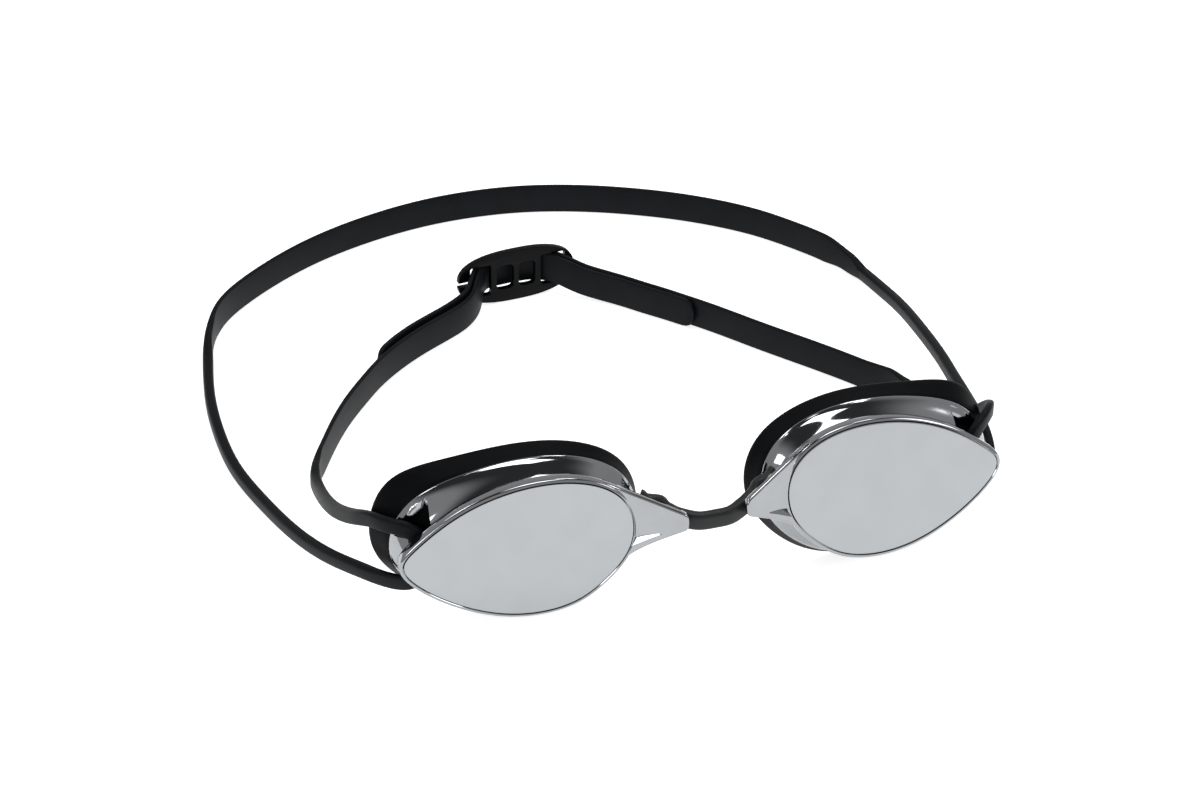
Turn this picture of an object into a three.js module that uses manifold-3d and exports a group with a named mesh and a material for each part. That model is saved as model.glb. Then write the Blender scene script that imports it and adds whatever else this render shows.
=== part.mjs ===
// Swim goggles: two mirrored lenses in chrome eye cups, silicone seals, a flexible nose bridge,
// and one silicone strap that passes round a post on each cup and closes in an oval buckle.
// Millimetres, +Z up, the lenses face -Y, and the strap lies behind them on the table.
import * as THREE from 'three';
import { mergeVertices } from 'three/addons/utils/BufferGeometryUtils.js';
import Module from 'manifold-3d';

const wasm = await Module();
wasm.setup();

// ---- driving dimensions ----
const CUP_SPACING = 38.6; // from the middle of the goggles to the middle of each lens nose end
const CUP_HEIGHT = 30.7; // lens centre above the table
const RIGHT_CUP_YAW = 3.2; // degrees that the temple end of the cup is swept back
const LEFT_CUP_YAW = 4.3;
const RIGHT_CUP_LEAN = 11.5; // degrees that the top of the cup leans back on its seal
const LEFT_CUP_LEAN = 4.8;
const LENS_THICKNESS = 1.5;
const LENS_CLEARANCE = 0.15; // gap between the lens plate and its seat
const FLANGE_OVERHANG = 1.2; // chrome flange outside the lens face
const FLANGE_THICKNESS = 3.8;
const SEAT_WIDTH = 3.0; // ledge that carries the lens plate
const LIP_DEPTH = 10.6; // depth of the chrome rear lip behind the lens face
const SEAL_DEPTH = 17.0; // depth of the seal's outer edge behind the lens face
const SLEEVE_WALL = 1.5;
const ARM_TIP_REACH = 30.9; // nose arm length from the lens nose-circle centre
const ARM_RAMP = 0.33; // forward rise of the arm per millimetre towards the nose
const ARM_THICKNESS = 2.4;
const ARM_FRONT = 0.6; // depth of the arm's front face where it leaves the flange
const ARM_RAMP_START = 14.5;
const SLOT_INNER = 35.4; // strap slot behind the flange, between the seal sleeve and the post
const SLOT_OUTER = 41.4;
const SLOT_DEPTH = 4.6; // from the back of the flange
const POST_TOP = 0.5; // the post stands between the two windows, behind the lens tip
const POST_BOTTOM = -8.8;
const PEG_RADIUS = 1.3; // peg on the back of each arm that holds the bridge
const PEG_HEAD_RADIUS = 2.1;
const PEG_CLEARANCE = 0.35;
const PEG_REACH = 22; // from the lens nose-circle centre to the peg
const BRIDGE_HEIGHT = 5.0;
const BRIDGE_THICKNESS = 3.2;
const BAND_WIDTH = 9.4; // wide, flat stretch of the strap
const BAND_THICKNESS = 1.4;
const CORD_WIDTH = 4.1; // narrow, thick stretch on the way to the cups
const CORD_THICKNESS = 3.1;
const SLOT_CORD_WIDTH = 4.3; // the cord where it bends through a cup
const SLOT_CORD_THICKNESS = 2.3;
const BUCKLE_LENGTH = 37.4;
const BUCKLE_HEIGHT = 17;
const BUCKLE_THICKNESS = 2.0;
const BUCKLE_CENTRE = new THREE.Vector3(-1.6, 169.2, BUCKLE_HEIGHT / 2);
const BUCKLE_YAW = 4; // degrees
const RING_STEPS = 64; // points round each cup outline

// ---- outlines of the right cup, seen from the front: outward, up ----
const LENS_OUTLINE = [
  [1.4, 14.2], [25.8, 10.1], [40.4, 0.7], [44.0, -4.2], [39.2, -11.1],
  [19.4, -21.5], [0.7, -21.6], [-8.9, -16.0], [-16.3, -6.0], [-14.4, 6.8],
];
const LIP_OUTLINE = [
  [2.5, 16.9], [27.5, 14.2], [41.2, 7.2], [45.6, -4.0], [40.8, -14.0],
  [20.5, -24.4], [0.5, -24.6], [-11.6, -18.6], [-19.9, -6.5], [-16.6, 8.6],
];
const SEAL_OUTLINE = [
  [3.0, 18.4], [28.5, 16.6], [44.2, 11.0], [49.4, -3.5], [43.2, -16.0],
  [20.5, -26.8], [0.5, -27.2], [-12.8, -20.3], [-21.9, -6.0], [-17.5, 9.8],
];
const EYE_OUTLINE = [
  [1.4, 10.6], [21.6, 7.2], [30.4, 2.2], [33.2, -4.3], [30.4, -10.6],
  [17.4, -17.4], [1.2, -17.9], [-6.4, -13.4], [-12.6, -5.6], [-11.2, 4.6],
];

// ---- materials ----
function finish(name, color, roughness, metalness) {
  return new THREE.MeshStandardMaterial({ name, color, roughness, metalness });
}
const mirror = finish('mirror_lens', '#c2c6c9', 0.18, 0.85);
const chrome = finish('chrome_coat', '#aeb2b5', 0.12, 1);
const sealRubber = finish('seal_silicone', '#191b1f', 0.6, 0);
const bridgeRubber = finish('bridge_silicone', '#2c2e2f', 0.5, 0);
const strapRubber = finish('strap_silicone', '#1f2123', 0.5, 0);
const bucklePlastic = finish('buckle_plastic', '#0f1014', 0.4, 0);

// ---- solids ----
const radians = THREE.MathUtils.degToRad;

function signedVolume(points, faces) {
  let sum = 0;
  for (const [a, b, c] of faces) {
    sum += points[a].dot(new THREE.Vector3().crossVectors(points[b], points[c]));
  }
  return sum / 6;
}

// One closed solid from points and triangles, turned outward whichever way it was wound.
function solidFromFaces(points, faces) {
  const outward = signedVolume(points, faces) > 0;
  const triVerts = new Uint32Array(faces.flatMap(([a, b, c]) => (outward ? [a, b, c] : [a, c, b])));
  const vertProperties = new Float32Array(points.flatMap((point) => [point.x, point.y, point.z]));
  return new wasm.Manifold(new wasm.Mesh({ numProp: 3, vertProperties, triVerts }));
}

function joinRings(faces, first, second, count) {
  for (let i = 0; i < count; i += 1) {
    const next = (i + 1) % count;
    faces.push([first + i, first + next, second + next]);
    faces.push([first + i, second + next, second + i]);
  }
}

// A skin over rings of equal count whose last ring joins the first: a band all round an opening.
function hoopSolid(rings) {
  const count = rings[0].length;
  const faces = [];
  rings.forEach((ring, index) => {
    joinRings(faces, index * count, ((index + 1) % rings.length) * count, count);
  });
  return solidFromFaces(rings.flat(), faces);
}

// A skin over rings of equal count, closed at both ends by a fan about each end's middle.
function skinSolid(rings) {
  const count = rings[0].length;
  const points = rings.flat();
  const faces = [];
  for (let index = 0; index + 1 < rings.length; index += 1) {
    joinRings(faces, index * count, (index + 1) * count, count);
  }
  const last = (rings.length - 1) * count;
  const middles = [rings[0], rings[rings.length - 1]].map((ring) => {
    const middle = new THREE.Vector3();
    ring.forEach((point) => middle.add(point));
    return middle.divideScalar(count);
  });
  points.push(...middles);
  for (let i = 0; i < count; i += 1) {
    const next = (i + 1) % count;
    faces.push([i, points.length - 2, next]);
    faces.push([last + i, last + next, points.length - 1]);
  }
  return solidFromFaces(points, faces);
}

// A solid from a closed three.js geometry, whichever way its faces were wound.
function solidFromGeometry(geometry) {
  const bare = geometry.clone();
  bare.deleteAttribute('normal');
  bare.deleteAttribute('uv');
  const merged = mergeVertices(bare, 1e-4);
  const position = merged.attributes.position;
  const index = merged.index.array;
  const points = [];
  for (let i = 0; i < position.count; i += 1) {
    points.push(new THREE.Vector3().fromBufferAttribute(position, i));
  }
  const faces = [];
  for (let i = 0; i < index.length; i += 3) {
    faces.push([index[i], index[i + 1], index[i + 2]]);
  }
  return solidFromFaces(points, faces);
}

function boxSolid(min, max) {
  const size = new THREE.Vector3().subVectors(max, min);
  const geometry = new THREE.BoxGeometry(size.x, size.y, size.z);
  geometry.translate(min.x + size.x / 2, min.y + size.y / 2, min.z + size.z / 2);
  return solidFromGeometry(geometry);
}

function geometryFromSolid(solid) {
  const mesh = solid.getMesh();
  const positions = [];
  for (let i = 0; i < mesh.vertProperties.length; i += mesh.numProp) {
    positions.push(mesh.vertProperties[i], mesh.vertProperties[i + 1], mesh.vertProperties[i + 2]);
  }
  const geometry = new THREE.BufferGeometry();
  geometry.setAttribute('position', new THREE.Float32BufferAttribute(positions, 3));
  geometry.setIndex(Array.from(mesh.triVerts));
  geometry.computeVertexNormals();
  return geometry;
}

// ---- cup outlines as rings in cup space: x outward, y back, z up ----
function grown(outline, amount) {
  return outline.map((point, index) => {
    const before = outline[(index + outline.length - 1) % outline.length];
    const after = outline[(index + 1) % outline.length];
    const across = new THREE.Vector2(after[0] - before[0], after[1] - before[1]).normalize();
    return [point[0] - across.y * amount, point[1] + across.x * amount];
  });
}

function cupRing({ from, to = from, mix = 0, grow = 0, depth, wrap = 0 }) {
  const blended = from.map((point, index) => [
    THREE.MathUtils.lerp(point[0], to[index][0], mix),
    THREE.MathUtils.lerp(point[1], to[index][1], mix),
  ]);
  const controls = grown(blended, grow).map(([x, z]) => new THREE.Vector3(x, 0, z));
  const curve = new THREE.CatmullRomCurve3(controls, true, 'centripetal');
  return Array.from({ length: RING_STEPS }, (_, index) => {
    const point = curve.getPoint(index / RING_STEPS);
    point.y = depth + wrap * (point.x - 8) ** 2;
    return point;
  });
}

// ---- the pieces of one cup ----
function lensSolid() {
  return skinSolid([
    cupRing({ from: LENS_OUTLINE, grow: -0.2, depth: 0 }),
    cupRing({ from: LENS_OUTLINE, grow: 0, depth: 0.2 }),
    cupRing({ from: LENS_OUTLINE, grow: 0, depth: LENS_THICKNESS }),
  ]);
}

// The nose arm: a thin tapered plate that ramps forward from the flange to a rounded tip.
function armSolid() {
  const outline = new THREE.Shape();
  outline.moveTo(-8.5, 12.4);
  outline.quadraticCurveTo(-19.5, 8.2, -ARM_TIP_REACH + 2.4, 3.4);
  outline.quadraticCurveTo(-ARM_TIP_REACH, 2.6, -ARM_TIP_REACH, 0.2);
  outline.quadraticCurveTo(-ARM_TIP_REACH, -2.3, -ARM_TIP_REACH + 2.4, -3.1);
  outline.quadraticCurveTo(-20, -6.4, -9.5, -14.5);
  outline.quadraticCurveTo(-13.6, -2, -8.5, 12.4);
  const geometry = new THREE.ExtrudeGeometry(outline, {
    depth: ARM_THICKNESS - 0.6, steps: 1, curveSegments: 10,
    bevelEnabled: true, bevelThickness: 0.3, bevelSize: 0.3, bevelOffset: -0.3, bevelSegments: 1,
  });
  const position = geometry.attributes.position;
  for (let i = 0; i < position.count; i += 1) {
    const x = position.getX(i);
    const ramp = Math.min(0, (x + ARM_RAMP_START) * ARM_RAMP);
    position.setXYZ(i, x, position.getZ(i) + ARM_FRONT + 0.3 + ramp, position.getY(i));
  }
  return solidFromGeometry(geometry);
}

// The eye cup: flange and seat at the front, a wall that pinches in and flares to the rear lip,
// a strap slot cut through from top to bottom at the temple end, and the nose arm.
function eyeCupSolid() {
  const wall = hoopSolid([
    cupRing({ from: LENS_OUTLINE, grow: LENS_CLEARANCE, depth: 0.2 }),
    cupRing({ from: LENS_OUTLINE, grow: FLANGE_OVERHANG - 0.35, depth: 0.35 }),
    cupRing({ from: LENS_OUTLINE, grow: FLANGE_OVERHANG, depth: 0.9 }),
    cupRing({ from: LENS_OUTLINE, grow: FLANGE_OVERHANG, depth: FLANGE_THICKNESS - 0.5 }),
    cupRing({ from: LENS_OUTLINE, grow: FLANGE_OVERHANG - 0.6, depth: FLANGE_THICKNESS }),
    cupRing({ from: LENS_OUTLINE, grow: -1.2, depth: FLANGE_THICKNESS + 0.7 }),
    cupRing({ from: LENS_OUTLINE, to: LIP_OUTLINE, mix: 0.3, grow: -0.8, depth: 6.6 }),
    cupRing({ from: LENS_OUTLINE, to: LIP_OUTLINE, mix: 0.75, grow: -0.2, depth: 8.8 }),
    cupRing({ from: LIP_OUTLINE, grow: 0, depth: LIP_DEPTH - 0.4 }),
    cupRing({ from: LIP_OUTLINE, grow: 0.1, depth: LIP_DEPTH + 0.2 }),
    cupRing({ from: LIP_OUTLINE, grow: -0.3, depth: LIP_DEPTH + 0.6 }),
    cupRing({ from: LIP_OUTLINE, grow: -1.6, depth: LIP_DEPTH + 0.5 }),
    cupRing({ from: LENS_OUTLINE, to: LIP_OUTLINE, mix: 0.75, grow: -1.7, depth: 9.2 }),
    cupRing({ from: LENS_OUTLINE, to: LIP_OUTLINE, mix: 0.3, grow: -2.2, depth: 7.0 }),
    cupRing({ from: LENS_OUTLINE, grow: -SEAT_WIDTH, depth: FLANGE_THICKNESS + 0.8 }),
    cupRing({ from: LENS_OUTLINE, grow: -SEAT_WIDTH, depth: LENS_THICKNESS + LENS_CLEARANCE }),
    cupRing({ from: LENS_OUTLINE, grow: LENS_CLEARANCE, depth: LENS_THICKNESS + LENS_CLEARANCE }),
  ]);
  const back = FLANGE_THICKNESS + 0.1;
  const slot = boxSolid(
    new THREE.Vector3(SLOT_INNER, back, -30),
    new THREE.Vector3(SLOT_OUTER, back + SLOT_DEPTH, 25),
  );
  const upperWindow = boxSolid(
    new THREE.Vector3(SLOT_INNER, back, POST_TOP),
    new THREE.Vector3(60, LIP_DEPTH - 1.1, 25),
  );
  const lowerWindow = boxSolid(
    new THREE.Vector3(SLOT_INNER, back, -30),
    new THREE.Vector3(60, LIP_DEPTH - 1.1, POST_BOTTOM),
  );
  const lensSpace = skinSolid([
    cupRing({ from: LENS_OUTLINE, grow: LENS_CLEARANCE, depth: -9 }),
    cupRing({ from: LENS_OUTLINE, grow: LENS_CLEARANCE, depth: LENS_THICKNESS + LENS_CLEARANCE }),
  ]);
  const innerSpace = skinSolid([
    cupRing({ from: LENS_OUTLINE, grow: -SEAT_WIDTH, depth: LENS_THICKNESS }),
    cupRing({ from: LENS_OUTLINE, grow: -SEAT_WIDTH, depth: 8 }),
  ]);
  const arm = armSolid().subtract(lensSpace).subtract(innerSpace);
  return wall.subtract(slot).subtract(upperWindow).subtract(lowerWindow).add(arm).add(pegSolid());
}

// The peg behind the arm: a short pin with a head, standing square to the lens plane.
function pegSolid() {
  const start = armBack(PEG_REACH) - 0.8;
  const neck = start + BRIDGE_THICKNESS + 2.8;
  const head = neck + 1;
  const profile = [[0, start], [PEG_RADIUS, start], [PEG_RADIUS, neck], [PEG_HEAD_RADIUS, neck], [0, head]];
  const points = profile.map(([radius, depth]) => new THREE.Vector2(radius, depth));
  const geometry = new THREE.LatheGeometry(points, 20);
  geometry.translate(-PEG_REACH, 0, 0);
  return solidFromGeometry(geometry);
}

// Depth of the arm's rear face at a distance towards the nose.
function armBack(reach) {
  return ARM_FRONT + ARM_THICKNESS - Math.max(0, reach - ARM_RAMP_START) * ARM_RAMP;
}

// The face seal: a sleeve inside the cup wall, then a flared lip behind it that meets the face.
function sealSolid() {
  const wrap = 0.0015;
  return hoopSolid([
    cupRing({ from: EYE_OUTLINE, depth: 2.2 }),
    cupRing({ from: EYE_OUTLINE, depth: 6.2 }),
    cupRing({ from: EYE_OUTLINE, to: LIP_OUTLINE, mix: 0.3, depth: 9.4 }),
    cupRing({ from: LIP_OUTLINE, grow: -2.4, depth: LIP_DEPTH + 0.6 }),
    cupRing({ from: LIP_OUTLINE, grow: -1.0, depth: LIP_DEPTH + 1.0 }),
    cupRing({ from: LIP_OUTLINE, to: SEAL_OUTLINE, mix: 0.5, grow: -0.4, depth: 12.8, wrap: wrap / 2 }),
    cupRing({ from: SEAL_OUTLINE, grow: -0.2, depth: SEAL_DEPTH - 1.6, wrap }),
    cupRing({ from: SEAL_OUTLINE, grow: 0, depth: SEAL_DEPTH, wrap }),
    cupRing({ from: SEAL_OUTLINE, grow: -0.6, depth: SEAL_DEPTH + 0.9, wrap }),
    cupRing({ from: SEAL_OUTLINE, grow: -2.4, depth: SEAL_DEPTH + 0.6, wrap }),
    cupRing({ from: SEAL_OUTLINE, grow: -5.2, depth: SEAL_DEPTH - 1.6, wrap }),
    cupRing({ from: EYE_OUTLINE, to: LIP_OUTLINE, mix: 0.3, grow: -0.6, depth: 12.2 }),
    cupRing({ from: EYE_OUTLINE, grow: -SLEEVE_WALL, depth: 8.2 }),
    cupRing({ from: EYE_OUTLINE, grow: -SLEEVE_WALL, depth: 2.2 }),
  ]);
}

// ---- placing: the left cup is the right cup's mirror image ----
function cupPlacement(side, yaw, lean) {
  const turn = new THREE.Matrix4().makeRotationZ(radians(yaw));
  const tilt = new THREE.Matrix4().makeRotationX(radians(-lean));
  const outward = new THREE.Matrix4().makeTranslation(CUP_SPACING, 0, CUP_HEIGHT);
  const mirrored = new THREE.Matrix4().makeScale(side, 1, 1);
  return mirrored.multiply(outward).multiply(turn).multiply(tilt);
}

// ---- strap: one loop of silicone, drawn in stretches that meet end to end ----
// Each row is x, y, z of the middle of the section, the direction that its outer face looks
// (degrees from +X in plan), and its width and thickness.
function strapSolid(rows, steps) {
  const path = new THREE.CatmullRomCurve3(rows.map(([x, y, z]) => new THREE.Vector3(x, y, z)));
  const shape = new THREE.CatmullRomCurve3(rows.map((row) => new THREE.Vector3(row[3], row[4], row[5])));
  path.curveType = 'catmullrom';
  shape.curveType = 'catmullrom';
  const rings = [];
  for (let step = 0; step <= steps; step += 1) {
    const t = step / steps;
    const middle = path.getPoint(t);
    const along = path.getTangent(t);
    const { x: facing, y: width, z: thickness } = shape.getPoint(t);
    const outward = new THREE.Vector3(Math.cos(radians(facing)), Math.sin(radians(facing)), 0);
    const across = new THREE.Vector3().crossVectors(outward, along).normalize();
    const face = new THREE.Vector3().crossVectors(along, across).normalize();
    rings.push(sectionRing(middle, across, face, width, thickness));
  }
  return skinSolid(rings);
}

// An eight-sided section: a rectangle with its corners cut, as the moulded edges are rounded.
function sectionRing(middle, across, face, width, thickness) {
  const chamfer = thickness * 0.32;
  const corners = [
    [width / 2 - chamfer, thickness / 2], [width / 2, thickness / 2 - chamfer],
    [width / 2, chamfer - thickness / 2], [width / 2 - chamfer, -thickness / 2],
    [chamfer - width / 2, -thickness / 2], [-width / 2, chamfer - thickness / 2],
    [-width / 2, thickness / 2 - chamfer], [chamfer - width / 2, thickness / 2],
  ];
  return corners.map(([a, b]) => middle.clone().addScaledVector(across, a).addScaledVector(face, b));
}

const WIDE = [BAND_WIDTH, BAND_THICKNESS];
const NARROW = [CORD_WIDTH, CORD_THICKNESS];
const SLIM = [SLOT_CORD_WIDTH, SLOT_CORD_THICKNESS];
const TAPER = [(BAND_WIDTH + CORD_WIDTH) / 2, (BAND_THICKNESS + CORD_THICKNESS) / 2];

const REAR_BAND = [
  [102.4, 145.2, 2.7, 14, ...NARROW],
  [100.2, 152.2, 3.6, 25, ...TAPER],
  [95.6, 160.8, 4.75, 30, ...WIDE],
  [91.2, 168.4, 4.75, 34, ...WIDE],
  [82.6, 180.6, 4.75, 41, ...WIDE],
  [72.7, 190.8, 4.75, 49, ...WIDE],
  [62.2, 199.1, 4.75, 55, ...WIDE],
  [51.2, 206, 4.75, 60, ...WIDE],
  [39.7, 211.9, 4.75, 66, ...WIDE],
  [27.8, 216.6, 4.75, 72, ...WIDE],
  [15.4, 219.9, 4.75, 80, ...WIDE],
  [2.4, 221.4, 4.75, 88, ...WIDE],
  [-11, 221.2, 4.75, 95, ...WIDE],
  [-24.6, 219.1, 4.75, 102, ...WIDE],
  [-38.8, 215.1, 4.75, 109, ...WIDE],
  [-53.2, 209.2, 4.75, 116, ...WIDE],
  [-68.2, 200.4, 4.75, 125, ...WIDE],
  [-83.4, 188.4, 4.75, 137, ...WIDE],
  [-92, 178, 4.75, 146, ...WIDE],
  [-96.9, 168.2, 3.6, 154, ...TAPER],
  [-99.6, 158.6, 2.4, 161, ...NARROW],
];
const LEFT_CORD = [
  [-99.7, 158.2, 2.4, 161, ...NARROW],
  [-103.7, 138, 2.2, 173, ...NARROW],
  [-105.6, 117, 2.2, 178, ...NARROW],
  [-105.4, 98, 2.6, 183, ...NARROW],
  [-102.7, 78.6, 3.8, 188, ...NARROW],
  [-98.6, 55, 7, 195, ...NARROW],
  [-93.6, 36.6, 10.6, 204, ...NARROW],
  [-88.6, 23.6, 13.8, 214, ...NARROW],
  [-83.8, 14.6, 15.6, 228, ...SLIM],
  [-78.8, 9, 18, 250, ...SLIM],
  [-76.6, 8, 22.4, 270, ...SLIM],
  [-76.1, 8.4, 27.6, 270, ...SLIM],
  [-78.2, 9.2, 32.6, 246, ...SLIM],
  [-83.6, 12, 34.4, 226, ...SLIM],
  [-87, 17.6, 33.4, 206, ...SLIM],
  [-89.3, 26, 29.4, 190, ...NARROW],
  [-90.6, 40, 22.6, 183, ...NARROW],
  [-90, 56, 15.8, 176, ...NARROW],
  [-88.8, 68, 11.2, 169, ...NARROW],
  [-87.8, 76, 8.8, 164, ...NARROW],
];
const RIGHT_CORD = [
  [102.5, 144.3, 2.8, 13, ...NARROW],
  [103, 133, 4.3, 6, ...NARROW],
  [102.9, 117, 6.9, 0, ...NARROW],
  [101.2, 98, 10.1, -5, ...NARROW],
  [98.7, 77, 13.2, -7, ...NARROW],
  [96.4, 63, 15.2, -7, ...NARROW],
  [93.9, 48, 17.4, -7, ...NARROW],
  [92.1, 34, 17.9, -9, ...NARROW],
  [90, 22, 17, -20, ...SLIM],
  [86, 13.6, 16, -38, ...SLIM],
  [80.6, 8, 16, -60, ...SLIM],
  [77, 5.8, 19.6, -90, ...SLIM],
  [76.3, 7, 26, -90, ...SLIM],
  [78.1, 8.3, 31.6, -70, ...SLIM],
  [82, 10.8, 34.3, -50, ...SLIM],
  [86.4, 16.4, 33.8, -30, ...SLIM],
  [88.6, 23.8, 29, -12, ...SLIM],
  [88.8, 33, 21.6, 0, ...NARROW],
  [88.2, 44, 15, 8, ...NARROW],
  [87.9, 56, 11.2, 15, ...NARROW],
  [87.3, 64, 9.3, 19, ...NARROW],
];
const LEFT_BAND = [
  [-87.6, 77.4, 8.4, 163, ...NARROW],
  [-85.8, 84, 6.6, 158, ...TAPER],
  [-82.6, 91.2, 5.2, 153, ...WIDE],
  [-78.6, 98.9, 4.75, 151, ...WIDE],
  [-73.2, 108.2, 4.75, 147, ...WIDE],
  [-66.9, 117.4, 4.75, 143, ...WIDE],
  [-60, 126, 4.75, 138, ...WIDE],
  [-54.4, 132.4, 4.75, 134, ...WIDE],
  [-47, 139.2, 4.75, 130, ...WIDE],
  [-39.2, 145, 4.75, 125, ...WIDE],
  [-31.8, 149.6, 4.75, 122, ...WIDE],
  [-24.6, 153.9, 4.8, 123, ...WIDE],
  [-19.9, 157.3, 5.2, 129, ...WIDE],
  [-16.6, 160.9, 6.2, 137, ...WIDE],
  [-14.5, 164.8, 7.6, 142, ...WIDE],
  [-12.7, 168.2, 8.4, 140, ...WIDE],
  [-10.2, 171, 8.5, 122, ...WIDE],
  [-6, 172, 8.5, 102, ...WIDE],
  [1, 172.5, 8.5, 92, ...WIDE],
  [5.4, 171.9, 8.5, 74, ...WIDE],
  [8.2, 170.4, 8.5, 56, ...WIDE],
  [10.4, 168.5, 8.4, 48, ...WIDE],
  [13.2, 166.1, 7.6, 50, ...WIDE],
  [16.4, 163.6, 6.4, 53, ...WIDE],
  [20.2, 160.8, 5.4, 50, ...WIDE],
  [27, 154.6, 4.85, 42, ...WIDE],
  [31.9, 148.9, 4.75, 41, ...WIDE],
  [36.5, 143.6, 4.75, 41, ...WIDE],
  [40.8, 138.4, 4.75, 41, ...WIDE],
  [43.9, 134.8, 4.75, 41, ...WIDE],
];
const RIGHT_BAND = [
  [87.1, 65.4, 9, 20, ...NARROW],
  [86.2, 72, 7.4, 25, ...TAPER],
  [84, 78.8, 6, 31, ...WIDE],
  [80.2, 85.8, 5, 34, ...WIDE],
  [75.6, 93.2, 4.75, 35, ...WIDE],
  [67, 105.3, 4.75, 36, ...WIDE],
  [58.6, 116.8, 4.75, 37, ...WIDE],
  [50.8, 128, 4.75, 39, ...WIDE],
  [45.8, 134.8, 4.75, 41, ...WIDE],
  [42.2, 139.4, 4.75, 41, ...WIDE],
  [37.9, 144.8, 4.75, 41, ...WIDE],
  [33.3, 150.2, 4.75, 42, ...WIDE],
  [28.3, 156, 4.85, 44, ...WIDE],
  [21.6, 162.2, 5.4, 50, ...WIDE],
  [17.6, 165, 6.4, 53, ...WIDE],
  [14.6, 167.4, 7.6, 50, ...WIDE],
  [12, 169.8, 8.4, 48, ...WIDE],
  [9.4, 172.2, 8.5, 56, ...WIDE],
  [5.8, 173.8, 8.5, 74, ...WIDE],
  [0.8, 174.4, 8.5, 92, ...WIDE],
  [-4, 174.3, 8.5, 96, ...WIDE],
  [-8.8, 173.6, 8.5, 104, ...WIDE],
  [-12.3, 171.6, 8.5, 126, ...WIDE],
  [-14.5, 168.4, 8.4, 142, ...WIDE],
  [-16.6, 164.6, 7.6, 142, ...WIDE],
  [-18.7, 161.2, 6.6, 136, ...WIDE],
  [-21.8, 158.8, 5.8, 128, ...WIDE],
  [-26, 156.2, 5.3, 123, ...WIDE],
  [-33.2, 151.9, 5.2, 122, ...WIDE],
  [-40.8, 147.2, 5.2, 125, ...WIDE],
  [-48.4, 141.2, 5.2, 131, ...WIDE],
  [-53.6, 136, 5.2, 135, ...WIDE],
];

// ---- nose bridge: a bent band behind the arms, with a hole at each end for the peg ----
const BRIDGE_HALF = [
  [0, -3.7, 28.9, BRIDGE_HEIGHT],
  [4.5, -3.4, 29, BRIDGE_HEIGHT],
  [8.6, -1.4, 29.6, BRIDGE_HEIGHT],
  [12.6, -0.1, 30.4, BRIDGE_HEIGHT + 0.4],
  [16.6, 1.4, 30.9, BRIDGE_HEIGHT + 1.2],
  [19.2, 2.4, 31.2, BRIDGE_HEIGHT + 1],
];

function bridgeSolid(placements) {
  const half = BRIDGE_HALF.slice(1);
  const left = half.map(([x, y, z, height]) => [-x, y, z, 270, height, BRIDGE_THICKNESS]).reverse();
  const right = BRIDGE_HALF.map(([x, y, z, height]) => [x, y, z, 270, height, BRIDGE_THICKNESS]);
  let bridge = strapSolid([...left, ...right], 44);
  for (const placement of placements) {
    const bore = new THREE.CylinderGeometry(PEG_RADIUS + PEG_CLEARANCE, PEG_RADIUS + PEG_CLEARANCE, 14, 20);
    bore.translate(-PEG_REACH, 0, 0);
    bore.applyMatrix4(placement);
    bridge = bridge.subtract(solidFromGeometry(bore));
  }
  return bridge;
}

// ---- buckle: an oval plate with four windows, split at both ends so that the strap slips in ----
const BUCKLE_WINDOWS = [[-14.8, -8.2], [-6.4, -0.8], [0.8, 6.2], [8, 15.8]];
const BUCKLE_WINDOW_HALF = 5.1;
const BUCKLE_ROUNDNESS = 2.5; // exponent of the oval: 2 is an ellipse

function buckleSolid() {
  const outline = new THREE.Shape();
  const steps = 48;
  for (let i = 0; i < steps; i += 1) {
    const angle = (2 * Math.PI * i) / steps;
    const c = Math.cos(angle);
    const s = Math.sin(angle);
    const x = (BUCKLE_LENGTH / 2) * Math.sign(c) * Math.abs(c) ** (2 / BUCKLE_ROUNDNESS);
    const z = (BUCKLE_HEIGHT / 2) * Math.sign(s) * Math.abs(s) ** (2 / BUCKLE_ROUNDNESS);
    if (i === 0) outline.moveTo(x, z);
    else outline.lineTo(x, z);
  }
  const plate = new THREE.ExtrudeGeometry(outline, {
    depth: BUCKLE_THICKNESS - 0.8, steps: 1,
    bevelEnabled: true, bevelThickness: 0.4, bevelSize: 0.4, bevelOffset: -0.4, bevelSegments: 1,
  });
  plate.translate(0, 0, -(BUCKLE_THICKNESS - 0.8) / 2);
  plate.rotateX(Math.PI / 2);
  let buckle = solidFromGeometry(plate);
  for (const [from, to] of BUCKLE_WINDOWS) {
    buckle = buckle.subtract(boxSolid(
      new THREE.Vector3(from, -5, -BUCKLE_WINDOW_HALF),
      new THREE.Vector3(to, 5, BUCKLE_WINDOW_HALF),
    ));
  }
  for (const side of [-1, 1]) {
    const reach = side * (BUCKLE_LENGTH / 2 + 1);
    const start = side * 12;
    buckle = buckle.subtract(boxSolid(
      new THREE.Vector3(Math.min(reach, start), -5, -0.8),
      new THREE.Vector3(Math.max(reach, start), 5, 0.8),
    ));
  }
  return buckle;
}

// ---- assembly ----
const goggles = new THREE.Group();

function addNode(parent, name, solid, material) {
  const node = new THREE.Mesh(geometryFromSolid(solid), material);
  node.name = name;
  parent.add(node);
}

// A solid moved to its place; a mirror image is turned outward again.
function placedSolid(solid, placement) {
  const geometry = geometryFromSolid(solid);
  geometry.applyMatrix4(placement);
  return solidFromGeometry(geometry);
}

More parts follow.
